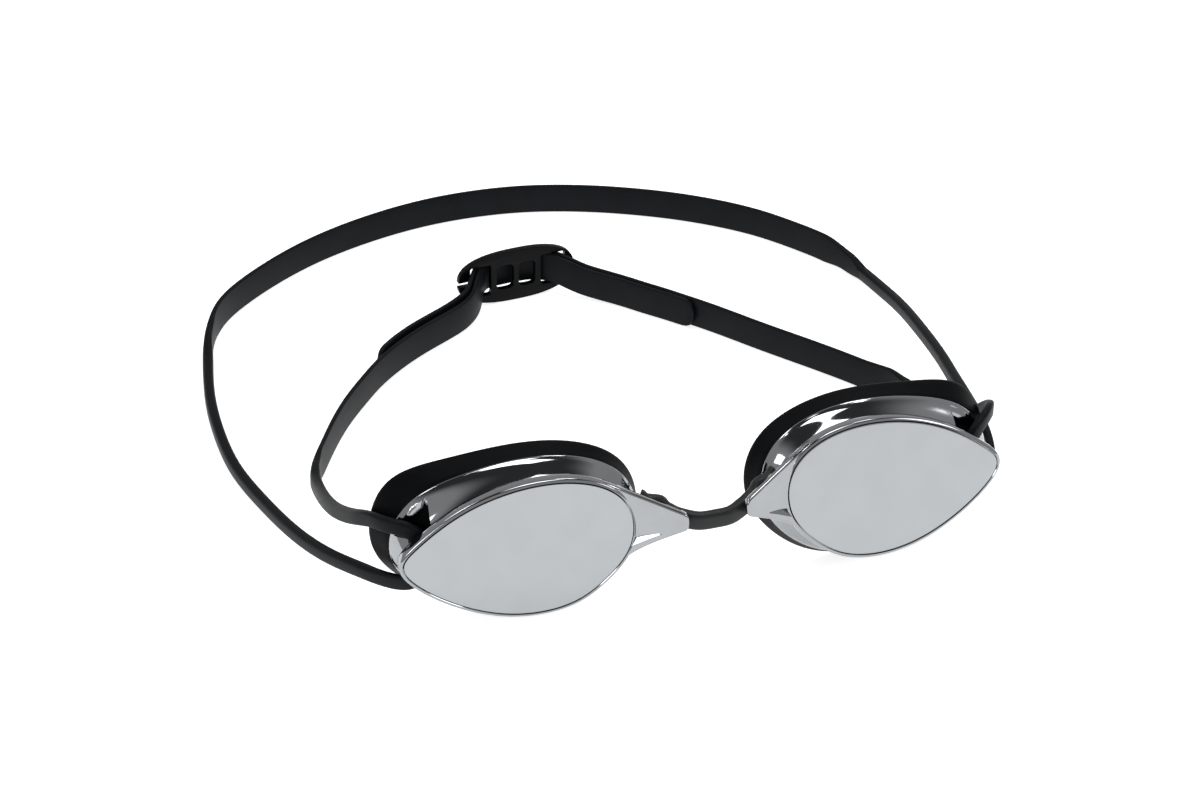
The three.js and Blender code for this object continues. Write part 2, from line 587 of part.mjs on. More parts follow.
const cups = [
  { side: 'left', placement: cupPlacement(-1, LEFT_CUP_YAW, LEFT_CUP_LEAN) },
  { side: 'right', placement: cupPlacement(1, RIGHT_CUP_YAW, RIGHT_CUP_LEAN) },
];
for (const { side, placement } of cups) {
  addNode(goggles, `${side}_lens`, placedSolid(lensSolid(), placement), mirror);
  addNode(goggles, `${side}_eye_cup`, placedSolid(eyeCupSolid(), placement), chrome);
  addNode(goggles, `${side}_seal`, placedSolid(sealSolid(), placement), sealRubber);
}
addNode(goggles, 'nose_bridge', bridgeSolid(cups.map((cup) => cup.placement)), bridgeRubber);
addNode(goggles, 'strap_rear_band', strapSolid(REAR_BAND, 60), strapRubber);
addNode(goggles, 'strap_left_cord', strapSolid(LEFT_CORD, 76), strapRubber);
addNode(goggles, 'strap_right_cord', strapSolid(RIGHT_CORD, 78), strapRubber);
addNode(goggles, 'strap_left_band', strapSolid(LEFT_BAND, 84), strapRubber);
addNode(goggles, 'strap_right_band', strapSolid(RIGHT_BAND, 90), strapRubber);

const bucklePlace = new THREE.Matrix4().makeRotationZ(radians(BUCKLE_YAW)).setPosition(BUCKLE_CENTRE);
addNode(goggles, 'buckle', placedSolid(buckleSolid(), bucklePlace), bucklePlastic);

// The record's frame: the middle of the bounding box in plan, with the table at zero.
const bounds = new THREE.Box3().setFromObject(goggles);
const middle = bounds.getCenter(new THREE.Vector3());
goggles.position.set(-middle.x, -middle.y, -bounds.min.z);
goggles.updateMatrixWorld(true);

export default goggles;
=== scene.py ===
"""Looks of a pair of swim goggles: mirrored lenses, chrome eye cups, soft seals and one silicone strap.

Every piece is made in the row frame, in metres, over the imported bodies. Tables of sizes are in millimetres
from the drawing's origin, which lies midway between the cups, in the lens plane, on the table.
"""
from __future__ import annotations

import logging
import math
from dataclasses import dataclass, field
from enum import Enum
from typing import Any, Callable, Iterable, Sequence

import bmesh
import bpy
import numpy as np
from mathutils import Matrix, Vector

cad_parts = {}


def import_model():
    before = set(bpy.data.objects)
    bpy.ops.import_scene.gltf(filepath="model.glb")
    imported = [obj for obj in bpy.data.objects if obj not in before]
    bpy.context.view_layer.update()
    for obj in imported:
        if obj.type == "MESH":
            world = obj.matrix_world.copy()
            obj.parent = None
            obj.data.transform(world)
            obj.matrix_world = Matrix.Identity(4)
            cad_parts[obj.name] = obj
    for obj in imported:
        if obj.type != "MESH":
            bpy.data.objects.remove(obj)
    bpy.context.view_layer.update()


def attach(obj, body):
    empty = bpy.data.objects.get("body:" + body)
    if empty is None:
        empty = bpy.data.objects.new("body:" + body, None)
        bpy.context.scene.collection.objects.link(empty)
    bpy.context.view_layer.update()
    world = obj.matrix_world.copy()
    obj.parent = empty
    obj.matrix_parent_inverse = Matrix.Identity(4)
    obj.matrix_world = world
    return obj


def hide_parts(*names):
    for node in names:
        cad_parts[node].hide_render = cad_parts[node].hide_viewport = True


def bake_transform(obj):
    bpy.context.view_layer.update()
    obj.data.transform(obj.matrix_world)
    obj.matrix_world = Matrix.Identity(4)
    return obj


log = logging.getLogger("goggles")

MM = 0.001
ORIGIN = Vector((1.346, -107.616, 0.2155))  # the drawing's origin in the row frame, millimetres

Row = tuple[float, ...]


class Body(Enum):
    """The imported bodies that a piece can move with."""

    ROOT = "bridge_and_strap"
    LEFT = "left_cup"
    RIGHT = "right_cup"
    BUCKLE = "buckle"


class Side(Enum):
    """Which cup, as seen from the front."""

    LEFT = -1
    RIGHT = 1

    @property
    def word(self) -> str:
        """The side's name in lower case."""
        return self.name.lower()

    @property
    def body(self) -> Body:
        """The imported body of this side's cup."""
        return Body.LEFT if self is Side.LEFT else Body.RIGHT


# ---- node trees ----
class Wire:
    """A node's output that takes part in Python arithmetic; each operator adds its Math node."""

    def __init__(self, nodes: Nodes, socket: bpy.types.NodeSocket) -> None:
        """Keeps the socket and the tree it belongs to.

        Args:
            nodes: the tree builder that the socket came from.
            socket: an output socket.
        """
        self.nodes = nodes
        self.socket = socket

    @property
    def is_vector(self) -> bool:
        """True if the wire carries a vector."""
        return self.socket.type == "VECTOR"

    def _combine(self, operation: str, first: Any, second: Any) -> Wire:
        """Adds the Math or Vector Math node of one operator.

        Args:
            operation: the node's operation.
            first: the left operand, a wire or a number.
            second: the right operand, a wire or a number.

        Returns:
            The result's wire.
        """
        vectors = [isinstance(item, Wire) and item.is_vector for item in (first, second)]
        if not any(vectors):
            return self.nodes.node("ShaderNodeMath", {"operation": operation}, {0: first, 1: second})
        if operation == "MULTIPLY" and not all(vectors):
            vector, scale = (first, second) if vectors[0] else (second, first)
            return self.nodes.node(
                "ShaderNodeVectorMath", {"operation": "SCALE"}, {0: vector, "Scale": scale}
            )
        return self.nodes.node("ShaderNodeVectorMath", {"operation": operation}, {0: first, 1: second})

    def __add__(self, other: Any) -> Wire:
        """wire + other."""
        return self._combine("ADD", self, other)

    __radd__ = __add__

    def __sub__(self, other: Any) -> Wire:
        """wire - other."""
        return self._combine("SUBTRACT", self, other)

    def __rsub__(self, other: Any) -> Wire:
        """other - wire."""
        return self._combine("SUBTRACT", other, self)

    def __mul__(self, other: Any) -> Wire:
        """wire * other."""
        return self._combine("MULTIPLY", self, other)

    __rmul__ = __mul__


class Nodes:
    """Builds one node tree: every node comes from its one method."""

    def __init__(self, tree: bpy.types.NodeTree) -> None:
        """Keeps the tree that nodes are added to."""
        self.tree = tree

    def node(
        self, kind: str, settings: dict[str, Any] | None = None,
        values: dict[Any, Any] | None = None, output: Any = 0,
    ) -> Wire | None:
        """Adds one node.

        Args:
            kind: the node's type.
            settings: attributes set before the sockets; "stops" fills a colour ramp.
            values: socket name or index to a wire, number, vector or colour.
            output: name or index of the output to return.

        Returns:
            The wire of the chosen output, or nothing for a node that has none.
        """
        made = self.tree.nodes.new(kind)
        for name, value in (settings or {}).items():
            if name == "stops":
                self._fill_ramp(made.color_ramp, value)
            else:
                setattr(made, name, value)
        for key, value in (values or {}).items():
            socket = self._input(made, key)
            if isinstance(value, Wire):
                self.tree.links.new(value.socket, socket)
            else:
                socket.default_value = value
        return Wire(self, self._output(made, output)) if made.outputs else None

    @staticmethod
    def _fill_ramp(ramp: bpy.types.ColorRamp, stops: Sequence[tuple[float, float]]) -> None:
        """Sets a grey ramp's stops.

        Args:
            ramp: the ramp.
            stops: pairs of place and level.
        """
        while len(ramp.elements) < len(stops):
            ramp.elements.new(0.5)
        for element, (place, level) in zip(ramp.elements, stops):
            element.position = place
            element.color = (level, level, level, 1)

    @staticmethod
    def _input(made: bpy.types.Node, key: Any) -> bpy.types.NodeSocket:
        """The input with this index, identifier or name."""
        if isinstance(key, int):
            return made.inputs[key]
        named = [item for item in made.inputs if item.identifier == key]
        return named[0] if named else made.inputs[key]

    @staticmethod
    def _output(made: bpy.types.Node, key: Any) -> bpy.types.NodeSocket:
        """The output with this index, identifier or name."""
        if isinstance(key, int):
            return made.outputs[key]
        named = [item for item in made.outputs if item.identifier == key]
        return named[0] if named else made.outputs[key]


# ---- finishes ----
@dataclass(frozen=True)
class Finish:
    """A surface finish: two close shades that drift into each other, an uneven gloss and a fine relief."""

    slot: str
    shade: tuple[float, float, float]
    second_shade: tuple[float, float, float]
    metallic: float
    roughness: float
    roughness_spread: float
    drift: float  # size of the colour and gloss patches, millimetres
    relief: float  # size of the bumps, millimetres
    relief_height: float  # millimetres
    specular: float = 0.5
    coat: float = 0.0
    coat_roughness: float = 0.1
    specks: float = 0.0  # share of the surface under fine pale dust

    def material(self) -> bpy.types.Material:
        """Builds the procedural material of this finish.

        Returns:
            The material, which reads Object coordinates only.
        """
        made = bpy.data.materials.new(self.slot)
        made.use_nodes = True
        made.node_tree.nodes.clear()
        nodes = Nodes(made.node_tree)
        place = nodes.node("ShaderNodeTexCoord", output="Object")
        patches = self._noise(nodes, place, self.drift, 3.0)
        grain = self._noise(nodes, place, self.relief, 2.0)
        fine = self._noise(nodes, place, self.relief * 0.31, 4.0)
        ramp = nodes.node("ShaderNodeValToRGB", {"stops": [(0.32, 0), (0.68, 1)]}, {"Fac": patches})
        colour = self._mix(nodes, ramp, (*self.shade, 1), (*self.second_shade, 1))
        gloss = self.roughness + (patches + fine - 1.0) * (2 * self.roughness_spread)
        if self.specks:
            flecks = self._noise(nodes, place, 0.55, 5.0)
            edge = 0.78 - self.specks
            dust = nodes.node("ShaderNodeValToRGB", {"stops": [(edge, 0), (edge + 0.06, 1)]}, {"Fac": flecks})
            pale = tuple(level * 2.6 + 0.012 for level in self.second_shade)
            colour = self._mix(nodes, dust, colour, (*pale, 1))
            gloss = gloss + dust * 0.12
        relief = nodes.node(
            "ShaderNodeBump",
            {},
            {"Strength": 1.0, "Distance": self.relief_height * MM, "Height": grain * 0.7 + fine * 0.3},
            output="Normal",
        )
        shader = nodes.node(
            "ShaderNodeBsdfPrincipled",
            {},
            {
                "Base Color": colour,
                "Roughness": gloss,
                "Metallic": self.metallic,
                "Specular IOR Level": self.specular,
                "Coat Weight": self.coat,
                "Coat Roughness": self.coat_roughness,
                "Normal": relief,
            },
        )
        nodes.node("ShaderNodeOutputMaterial", {}, {"Surface": shader})
        return made

    @staticmethod
    def _noise(nodes: Nodes, place: Wire, size: float, detail: float) -> Wire:
        """Cloudy noise whose patches are about this many millimetres across."""
        scale = 1 / (size * MM)
        return nodes.node("ShaderNodeTexNoise", {}, {"Vector": place, "Scale": scale, "Detail": detail})

    @staticmethod
    def _mix(nodes: Nodes, share: Wire, first: Any, second: Any) -> Wire:
        """Mixes two colours.

        Args:
            nodes: the material's tree builder.
            share: how much of the second colour shows.
            first: a colour or its wire.
            second: a colour or its wire.

        Returns:
            The mixed colour's wire.
        """
        values = {"Factor_Float": share, "A_Color": first, "B_Color": second}
        return nodes.node("ShaderNodeMix", {"data_type": "RGBA"}, values, output="Result_Color")


MIRROR = Finish("mirror_lens", (0.348, 0.364, 0.377), (0.334, 0.350, 0.363), 1.0, 0.16, 0.012, 9, 3.0, 0.0015)
CHROME = Finish("chrome_coat", (0.322, 0.334, 0.346), (0.300, 0.312, 0.324), 1.0, 0.07, 0.010, 6, 2.2, 0.004)
SEAL = Finish(
    "seal_silicone", (0.0016, 0.0019, 0.0026), (0.0026, 0.0030, 0.0039), 0.0, 0.50, 0.05, 7, 0.45, 0.010,
    specular=0.05, specks=0.02,
)
BRIDGE = Finish(
    "bridge_silicone", (0.012, 0.013, 0.0135), (0.016, 0.017, 0.018), 0.0, 0.42, 0.04, 5, 0.40, 0.008,
    specular=0.25, specks=0.02,
)
STRAP = Finish(
    "strap_silicone", (0.0036, 0.0044, 0.0058), (0.0052, 0.0062, 0.0080), 0.0, 0.46, 0.04, 8, 0.40, 0.008,
    specular=0.08, specks=0.02,
)
PLASTIC = Finish(
    "buckle_plastic", (0.0010, 0.0012, 0.0017), (0.0016, 0.0018, 0.0025), 0.0, 0.34, 0.04, 5, 0.50, 0.010,
    specular=0.09,
)


class Paint:
    """The materials of the finishes, each built once."""

    def __init__(self) -> None:
        """Starts with no material built."""
        self._made: dict[str, bpy.types.Material] = {}

    def of(self, finish: Finish) -> bpy.types.Material:
        """The material of a finish, built on first use."""
        if finish.slot not in self._made:
            self._made[finish.slot] = finish.material()
        return self._made[finish.slot]


# ---- curves and meshes ----
class Smooth:
    """A curve of even curvature through given points; its parameter counts the points passed."""

    def __init__(self, points: Sequence[Sequence[float]], closed: bool = False) -> None:
        """Solves the slopes at the points.

        Args:
            points: the points, two or more numbers each.
            closed: whether the last point leads back to the first.
        """
        self.points = np.array(points, float)
        self.closed = closed
        count = len(self.points)
        ahead = np.roll(self.points, -1, axis=0)
        self.steps = np.maximum(np.linalg.norm((ahead - self.points)[:, :3], axis=1) ** 0.5, 1e-9)
        matrix = np.zeros((count, count))
        target = np.zeros_like(self.points)
        for i in range(count):
            before, after = (i - 1) % count, (i + 1) % count
            near, far = self.steps[before], self.steps[i]
            if not closed and i in (0, count - 1):
                other, step = (after, far) if i == 0 else (before, near)
                matrix[i, i], matrix[i, other] = 2, 1
                span = self.points[other] - self.points[i]
                target[i] = 3 * (span if i == 0 else -span) / step
                continue
            matrix[i, before], matrix[i, i], matrix[i, after] = far, 2 * (near + far), near
            rise_in = (self.points[i] - self.points[before]) / near
            rise_out = (self.points[after] - self.points[i]) / far
            target[i] = 3 * (far * rise_in + near * rise_out)
        self.slopes = np.linalg.solve(matrix, target)

    def at(self, places: Iterable[float]) -> np.ndarray:
        """The curve's points at these parameters.

        Args:
            places: parameters, from 0 to the number of spans.

        Returns:
            One row for each parameter.
        """
        places = np.asarray(list(places), float)
        count = len(self.points)
        spans = count if self.closed else count - 1
        first = np.minimum(np.floor(places).astype(int), spans - 1)
        u = (places - first)[:, None]
        second = (first + 1) % count
        step = self.steps[first][:, None]
        start, end = self.points[first], self.points[second]
        leave, arrive = self.slopes[first] * step, self.slopes[second] * step
        return (
            start * (2 * u**3 - 3 * u**2 + 1)
            + leave * (u**3 - 2 * u**2 + u)
            + end * (3 * u**2 - 2 * u**3)
            + arrive * (u**3 - u**2)
        )

    def even(self, count: int) -> np.ndarray:
        """Parameters of points at even distances along the curve.

        Args:
            count: how many points.

        Returns:
            The parameters.
        """
        spans = len(self.points) if self.closed else len(self.points) - 1
        dense = np.linspace(0, spans, spans * 60 + 1)
        gaps = np.linalg.norm(np.diff(self.at(dense)[:, :3], axis=0), axis=1)
        length = np.concatenate([[0], np.cumsum(gaps)])
        targets = np.linspace(0, length[-1], count, endpoint=not self.closed)
        return np.interp(targets, length, dense)


def mesh_object(name: str, points: np.ndarray, faces: list[list[int]]) -> bpy.types.Object:
    """Makes a plain mesh whose faces point outward.

    Args:
        name: the object's name.
        points: vertex positions in metres, in the row frame.
        faces: vertex indices of each face.

    Returns:
        The linked object, at the origin.
    """
    mesh = bpy.data.meshes.new(name)
    mesh.from_pydata([tuple(point) for point in points], [], faces)
    made = bpy.data.objects.new(name, mesh)
    bpy.context.collection.objects.link(made)
    turn_outward(made)
    return made


def turn_outward(made: bpy.types.Object) -> None:
    """Merges doubled vertices and turns every face outward.

    Args:
        made: the object whose mesh is changed.
    """
    work = bmesh.new()
    work.from_mesh(made.data)
    bmesh.ops.remove_doubles(work, verts=work.verts, dist=1e-7)
    bmesh.ops.recalc_face_normals(work, faces=work.faces)
    if work.calc_volume(signed=True) < 0:
        bmesh.ops.reverse_faces(work, faces=work.faces)
    work.to_mesh(made.data)
    work.free()


def band_faces(first: int, second: int, count: int) -> list[list[int]]:
    """The four-cornered faces between two rings of count points that start at these indices."""
    ring = [(i, (i + 1) % count) for i in range(count)]
    return [[first + i, first + after, second + after, second + i] for i, after in ring]


def hoop(name: str, rings: Sequence[np.ndarray]) -> bpy.types.Object:
    """A closed skin over rings whose last ring joins the first.

    Args:
        name: the object's name.
        rings: the rings, of equally many points.

    Returns:
        The object.
    """
    count = len(rings[0])
    faces = []
    for index in range(len(rings)):
        faces += band_faces(index * count, ((index + 1) % len(rings)) * count, count)
    return mesh_object(name, np.concatenate(rings), faces)


def skin(name: str, rings: Sequence[np.ndarray]) -> bpy.types.Object:
    """A closed skin over rings, with a flat face at both ends.

    Args:
        name: the object's name.
        rings: the rings, of equally many points.

    Returns:
        The object.
    """
    count = len(rings[0])
    faces = []
    for index in range(len(rings) - 1):
        faces += band_faces(index * count, (index + 1) * count, count)
    last = (len(rings) - 1) * count
    faces += [list(range(count)), list(range(last, last + count))]
    return mesh_object(name, np.concatenate(rings), faces)


def baked(made: bpy.types.Object) -> bpy.types.Object:
    """Turns an object with modifiers into a plain mesh object of the same name.

    Args:
        made: the object, whose modifiers are applied.

    Returns:
        The same object, with the result as its mesh and no modifier.
    """
    bpy.context.view_layer.update()
    graph = bpy.context.evaluated_depsgraph_get()
    mesh = bpy.data.meshes.new_from_object(made.evaluated_get(graph), depsgraph=graph)
    made.modifiers.clear()
    made.data = mesh
    return made


def cut(made: bpy.types.Object, cutters: Sequence[bpy.types.Object], operation: str = "DIFFERENCE") -> None:
    """Cuts or joins solids with a piece, then removes them.

    Args:
        made: the piece that is changed.
        cutters: the solids.
        operation: the Boolean operation.
    """
    for cutter in cutters:
        modifier = made.modifiers.new("cut", "BOOLEAN")
        modifier.operation = operation
        modifier.solver = "EXACT"
        modifier.object = cutter
    baked(made)
    for cutter in cutters:
        bpy.data.objects.remove(cutter)


def finish_piece(
    made: bpy.types.Object, material: bpy.types.Material, sharp: float = 35
) -> None:
    """Gives a piece its material and smooth shading up to an angle.

    Args:
        made: the finished piece.
        material: its material.
        sharp: edges that turn more than this many degrees stay crisp.
    """
    made.data.materials.clear()
    made.data.materials.append(material)
    made.data.polygons.foreach_set("material_index", [0] * len(made.data.polygons))
    made.data.shade_smooth()
    made.data.set_sharp_from_angle(angle=math.radians(sharp))


def report(made: bpy.types.Object) -> None:
    """Logs a finished piece's name and size."""
    log.info("%s: %d faces", made.name, len(made.data.polygons))


# ---- eye cup ----
LENS_OUTLINE = (
    (1.4, 14.2), (25.8, 10.1), (40.4, 0.7), (44.0, -4.2), (39.2, -11.1),
    (19.4, -21.5), (0.7, -21.6), (-8.9, -16.0), (-16.3, -6.0), (-14.4, 6.8),
)
LIP_OUTLINE = (
    (2.5, 16.9), (27.5, 14.2), (41.2, 7.2), (45.6, -4.0), (40.8, -14.0),
    (20.5, -24.4), (0.5, -24.6), (-11.6, -18.6), (-19.9, -6.5), (-16.6, 8.6),
)
SEAL_OUTLINE = (
    (3.0, 18.4), (28.5, 16.6), (44.2, 11.0), (49.4, -3.5), (43.2, -16.0),
    (20.5, -26.8), (0.5, -27.2), (-12.8, -20.3), (-21.9, -6.0), (-17.5, 9.8),
)
EYE_OUTLINE = (
    (1.4, 10.6), (21.6, 7.2), (30.4, 2.2), (33.2, -4.3), (30.4, -10.6),
    (17.4, -17.4), (1.2, -17.9), (-6.4, -13.4), (-12.6, -5.6), (-11.2, 4.6),
)
ARM_OUTLINE = (
    (-8.5, 12.4), (-14.0, 10.1), (-20.5, 7.0), (-28.5, 3.4), (-30.5, 2.2), (-30.9, 0.2),
    (-30.5, -1.9), (-28.5, -3.1), (-20.5, -6.9), (-14.0, -11.4), (-9.5, -14.5), (-11.0, -2.0),
)

POCKET_OUTLINE = (
    (-24.0, -3.2), (-21.4, -3.3), (-18.6, -3.8), (-15.8, -4.5), (-13.6, -5.0),
    (-12.8, -6.6), (-13.4, -8.2), (-16.0, -7.2), (-18.8, -5.8), (-21.6, -4.4),
)


@dataclass
class EyeCup:
    """One cup with its lens, its face seal and its nose arm. Sizes are millimetres in the cup's own space."""

    side: Side
    yaw: float  # degrees that the temple end is swept back
    lean: float  # degrees that the top leans back
    spacing: float = 38.6
    height: float = 30.7
    lens_thickness: float = 1.5
    groove: float = 0.22  # dark line round the lens plate
    overhang: float = 1.2
    flange: float = 3.8
    seat: float = 3.0
    lip: float = 10.6
    seal: float = 17.0
    wrap: float = 0.0015
    arm_ramp: float = 0.33
    arm_ramp_start: float = 14.5
    arm_front: float = 0.6
    arm_thickness: float = 2.4
    slot_inner: float = 35.4
    slot_outer: float = 41.4
    post_top: float = 0.5
    post_bottom: float = -8.8
    peg_reach: float = 22.0
    steps: int = 240
    outlines: dict[str, np.ndarray] = field(default_factory=dict)

    def __post_init__(self) -> None:
        """Samples the four outlines at the same places round the cup."""
        tables = {"lens": LENS_OUTLINE, "lip": LIP_OUTLINE, "seal": SEAL_OUTLINE, "eye": EYE_OUTLINE}
        places = Smooth(LENS_OUTLINE, closed=True).even(self.steps)
        self.outlines = {name: Smooth(table, closed=True).at(places) for name, table in tables.items()}
        turn = Matrix.Rotation(math.radians(self.yaw), 4, "Z")
        tilt = Matrix.Rotation(math.radians(-self.lean), 4, "X")
        outward = Matrix.Translation((self.spacing, 0, self.height))
        mirror = Matrix.Diagonal((self.side.value, 1, 1, 1))
        self.place = np.array(Matrix.Translation(ORIGIN) @ mirror @ outward @ turn @ tilt)

    def to_row(self, points: np.ndarray) -> np.ndarray:
        """Points of the cup's own space, in millimetres, as row frame points in metres."""
        return (points @ self.place[:3, :3].T + self.place[:3, 3]) * MM

    def ring(
        self, start: str, end: str, mix: float, grow: float, depth: float, wrap: float = 0.0
    ) -> np.ndarray:
        """One ring round the cup.

        Args:
            start: outline at mix 0.
            end: outline at mix 1.
            mix: share of the second outline.
            grow: distance that the ring stands outside it.
            depth: distance behind the lens face.
            wrap: how fast the ring curves back from the nose.

        Returns:
            Row frame points of the ring.
        """
        flat = self.outlines[start] * (1 - mix) + self.outlines[end] * mix
        along = np.roll(flat, -1, axis=0) - np.roll(flat, 1, axis=0)
        along /= np.linalg.norm(along, axis=1)[:, None]
        flat = flat + np.stack([-along[:, 1], along[:, 0]], axis=1) * grow
        back = depth + wrap * (flat[:, 0] - 8) ** 2
        return self.to_row(np.stack([flat[:, 0], back, flat[:, 1]], axis=1))

    def rings(
        self, start: str, end: str, rows: Sequence[Row], counts: int, wrap: float = 0.0
    ) -> list[np.ndarray]:
        """Rings along a smooth profile.

        Args:
            start: outline at mix 0.
            end: outline at mix 1.
            rows: mix, grow and depth at the profile's points, and optionally a share of the wrap.
            counts: rings in each span.
            wrap: how fast the rings curve back from the nose.

        Returns:
            The rings, in order.
        """
        full = [row if len(row) == 4 else (*row, 0.0) for row in rows]
        scaled = Smooth([(row[0] * 4, row[1], row[2], row[3]) for row in full])
        places = np.linspace(0, len(full) - 1, (len(full) - 1) * counts + 1)
        return [self.ring(start, end, m / 4, g, d, w * wrap) for m, g, d, w in scaled.at(places)]

    def lens_plate(self) -> bpy.types.Object:
        """The flat mirrored lens, with a small bevel round its face."""
        rows = (
            (0, -0.6, 0.0), (0, -0.16, 0.0), (0, -0.07, 0.03), (0, 0.0, 0.16),
            (0, 0.0, self.lens_thickness), (0, -0.7, self.lens_thickness),
        )
        return skin(f"{self.side.word}_lens_plate", [self.ring("lens", "lip", *row) for row in rows])

    def shell(self) -> bpy.types.Object:
        """The chrome cup: rim, side band, concave wall with its rear lip, and the windows by the post."""
        gap, out, seat = self.groove, self.overhang, self.seat
        rim = (
            (0, gap, 0.5), (0, gap, 0.16), (0, gap + 0.14, 0.02),
            (0, out - 0.32, 0.16), (0, out - 0.08, 0.42),
        )
        band = ((0, out, 0.8), (0, out + 0.05, 2.0), (0, out, self.flange - 0.6))
        heel = (
            (0, out - 0.12, self.flange - 0.25), (0, out - 0.5, self.flange), (0, -0.9, self.flange + 0.35),
        )
        wall = (
            (0.0, -1.25, self.flange + 0.8), (0.12, -1.15, 5.6), (0.32, -0.8, 6.9),
            (0.62, -0.35, 8.3), (0.88, -0.1, 9.5), (1.0, 0.0, self.lip - 0.25),
        )
        lip = (
            (1, 0.16, self.lip), (1, 0.18, self.lip + 0.3),
            (1, -0.1, self.lip + 0.58), (1, -1.6, self.lip + 0.5),
        )
        inner = ((0.75, -1.7, 9.2), (0.3, -2.2, 7.0), (0, -seat, self.flange + 0.8))
        ledge = ((0, -seat, self.lens_thickness + 0.15), (0, gap, self.lens_thickness + 0.15))
        rings = [self.ring("lens", "lip", *row) for row in rim]
        rings += [self.ring("lens", "lip", *row) for row in band]
        rings += [self.ring("lens", "lip", *row) for row in heel]
        rings += self.rings("lens", "lip", wall, 5)
        rings += [self.ring("lens", "lip", *row) for row in (*lip, *inner, *ledge)]
        made = hoop(f"{self.side.word}_cup_shell", rings)
        back = self.flange + 0.1
        cut(
            made,
            [
                self.block((self.slot_inner, back, -30), (self.slot_outer, back + 4.6, 25)),
                self.block((self.slot_inner, back, self.post_top), (60, self.lip - 1.1, 25)),
                self.block((self.slot_inner, back, -30), (60, self.lip - 1.1, self.post_bottom)),
            ],
        )
        return made

    def block(self, low: Row, high: Row, rounding: float = 0.0) -> bpy.types.Object:
        """A box in the cup's own space, for cutting.

        Args:
            low: lowest corner.
            high: highest corner.
            rounding: radius of its edges.

        Returns:
            The box as an object.
        """
        work = bmesh.new()
        bmesh.ops.create_cube(work, size=1)
        size = [b - a for a, b in zip(low, high)]
        middle = [(a + b) / 2 for a, b in zip(low, high)]
        for vert in work.verts:
            vert.co = Vector(c * s + m for c, s, m in zip(vert.co, size, middle))
        if rounding:
            bmesh.ops.bevel(
                work, geom=work.edges[:], offset=rounding, segments=4, profile=0.5, affect="EDGES"
            )
        points = self.to_row(np.array([vert.co for vert in work.verts]))
        faces = [[vert.index for vert in face.verts] for face in work.faces]
        work.free()
        return mesh_object("cutter", points, faces)

    def arm_depth(self, x: float) -> float:
        """Depth of the arm's front face at this place across the cup; the ramp starts with a soft bend."""
        reach = -(x + self.arm_ramp_start)
        soft = 1.2
        return self.arm_front - self.arm_ramp * soft * math.log1p(math.exp(min(reach / soft, 40.0)))

    def bent_plate(
        self, name: str, outline: np.ndarray, profile: Sequence[tuple[float, float]],
        sunk: Callable[[float, float], float] | None = None, step: float = 0.6,
    ) -> bpy.types.Object:
        """A plate that follows the arm's ramp.

        Args:
            name: the object's name.
            outline: its outline across and up the cup.
            profile: how far each ring sinks inside the outline, and its depth behind the arm's face.
            sunk: extra depth of the back at a place across and up the cup.
            step: width of the strips that the ramp bends.

        Returns:
            The plate as an object.
        """
        along = np.roll(outline, -1, axis=0) - np.roll(outline, 1, axis=0)
        along /= np.linalg.norm(along, axis=1)[:, None]
        inward = np.stack([-along[:, 1], along[:, 0]], axis=1)
        area = np.sum(outline[:, 0] * np.roll(outline[:, 1], -1) - np.roll(outline[:, 0], -1) * outline[:, 1])
        if area < 0:
            inward = -inward
        rings = []
        for sink, depth in profile:
            inset = outline + inward * sink
            rings.append(np.stack([inset[:, 0], np.full(len(inset), depth), inset[:, 1]], axis=1) * MM)
        made = skin(name, rings)
        work = bmesh.new()
        work.from_mesh(made.data)
        low, high = outline[:, 0].min(), outline[:, 0].max()
        for x in np.arange(low + step, high, step):
            parts = [*work.verts, *work.edges, *work.faces]
            bmesh.ops.bisect_plane(work, geom=parts, dist=1e-7, plane_co=(x * MM, 0, 0), plane_no=(1, 0, 0))
        points = np.array([vert.co for vert in work.verts]) / MM
        if sunk:
            points[:, 1] += [sunk(x, z) if y > 0 else 0.0 for x, y, z in points]
        points[:, 1] += [self.arm_depth(x) for x in points[:, 0]]
        for vert, place in zip(work.verts, self.to_row(points)):
            vert.co = place
        work.to_mesh(made.data)
        work.free()
        turn_outward(made)
        return made

    def arm(self) -> bpy.types.Object:
        """The nose arm: a tapered plate that ramps forward, with a soft edge and a pocket by the lens."""
        outline = Smooth(ARM_OUTLINE, closed=True)
        profile = (
            (1.3, 0.0), (0.75, 0.0), (0.45, 0.05), (0.2, 0.2),
            (0.05, 0.45), (0.0, 0.75), (0.0, 2.0), (0.3, 2.4),
        )
        made = self.bent_plate(f"{self.side.word}_nose_arm", outline.at(outline.even(110)), profile)
        cut(made, [self.lens_clearance(), self.pocket()])
        return made

    def lens_clearance(self) -> bpy.types.Object:
        """The space in front of the seat, which the arm leaves free."""
        rows = ((0, self.groove + 0.3, -9), (0, self.groove + 0.3, 6))
        return skin("cutter", [self.ring("lens", "lip", *row) for row in rows])

    def pocket(self) -> bpy.types.Object:
        """The small triangular hollow at the lower root of the arm."""
        outline = Smooth(POCKET_OUTLINE, closed=True)
        rim = outline.at(outline.even(60))
        return self.bent_plate("cutter", rim, ((0.0, -3.0), (0.0, 0.15)), self.pocket_floor)

    @staticmethod
    def pocket_floor(x: float, z: float) -> float:
        """How much deeper the pocket's floor is here than at its lower edge, so that it faces upwards."""
        (start_x, start_z), (end_x, end_z) = POCKET_OUTLINE[0], POCKET_OUTLINE[6]
        lower_edge = start_z + (x - start_x) * (end_z - start_z) / (end_x - start_x)
        return min(max(0.75 * (z - lower_edge), 0.0), 1.6)

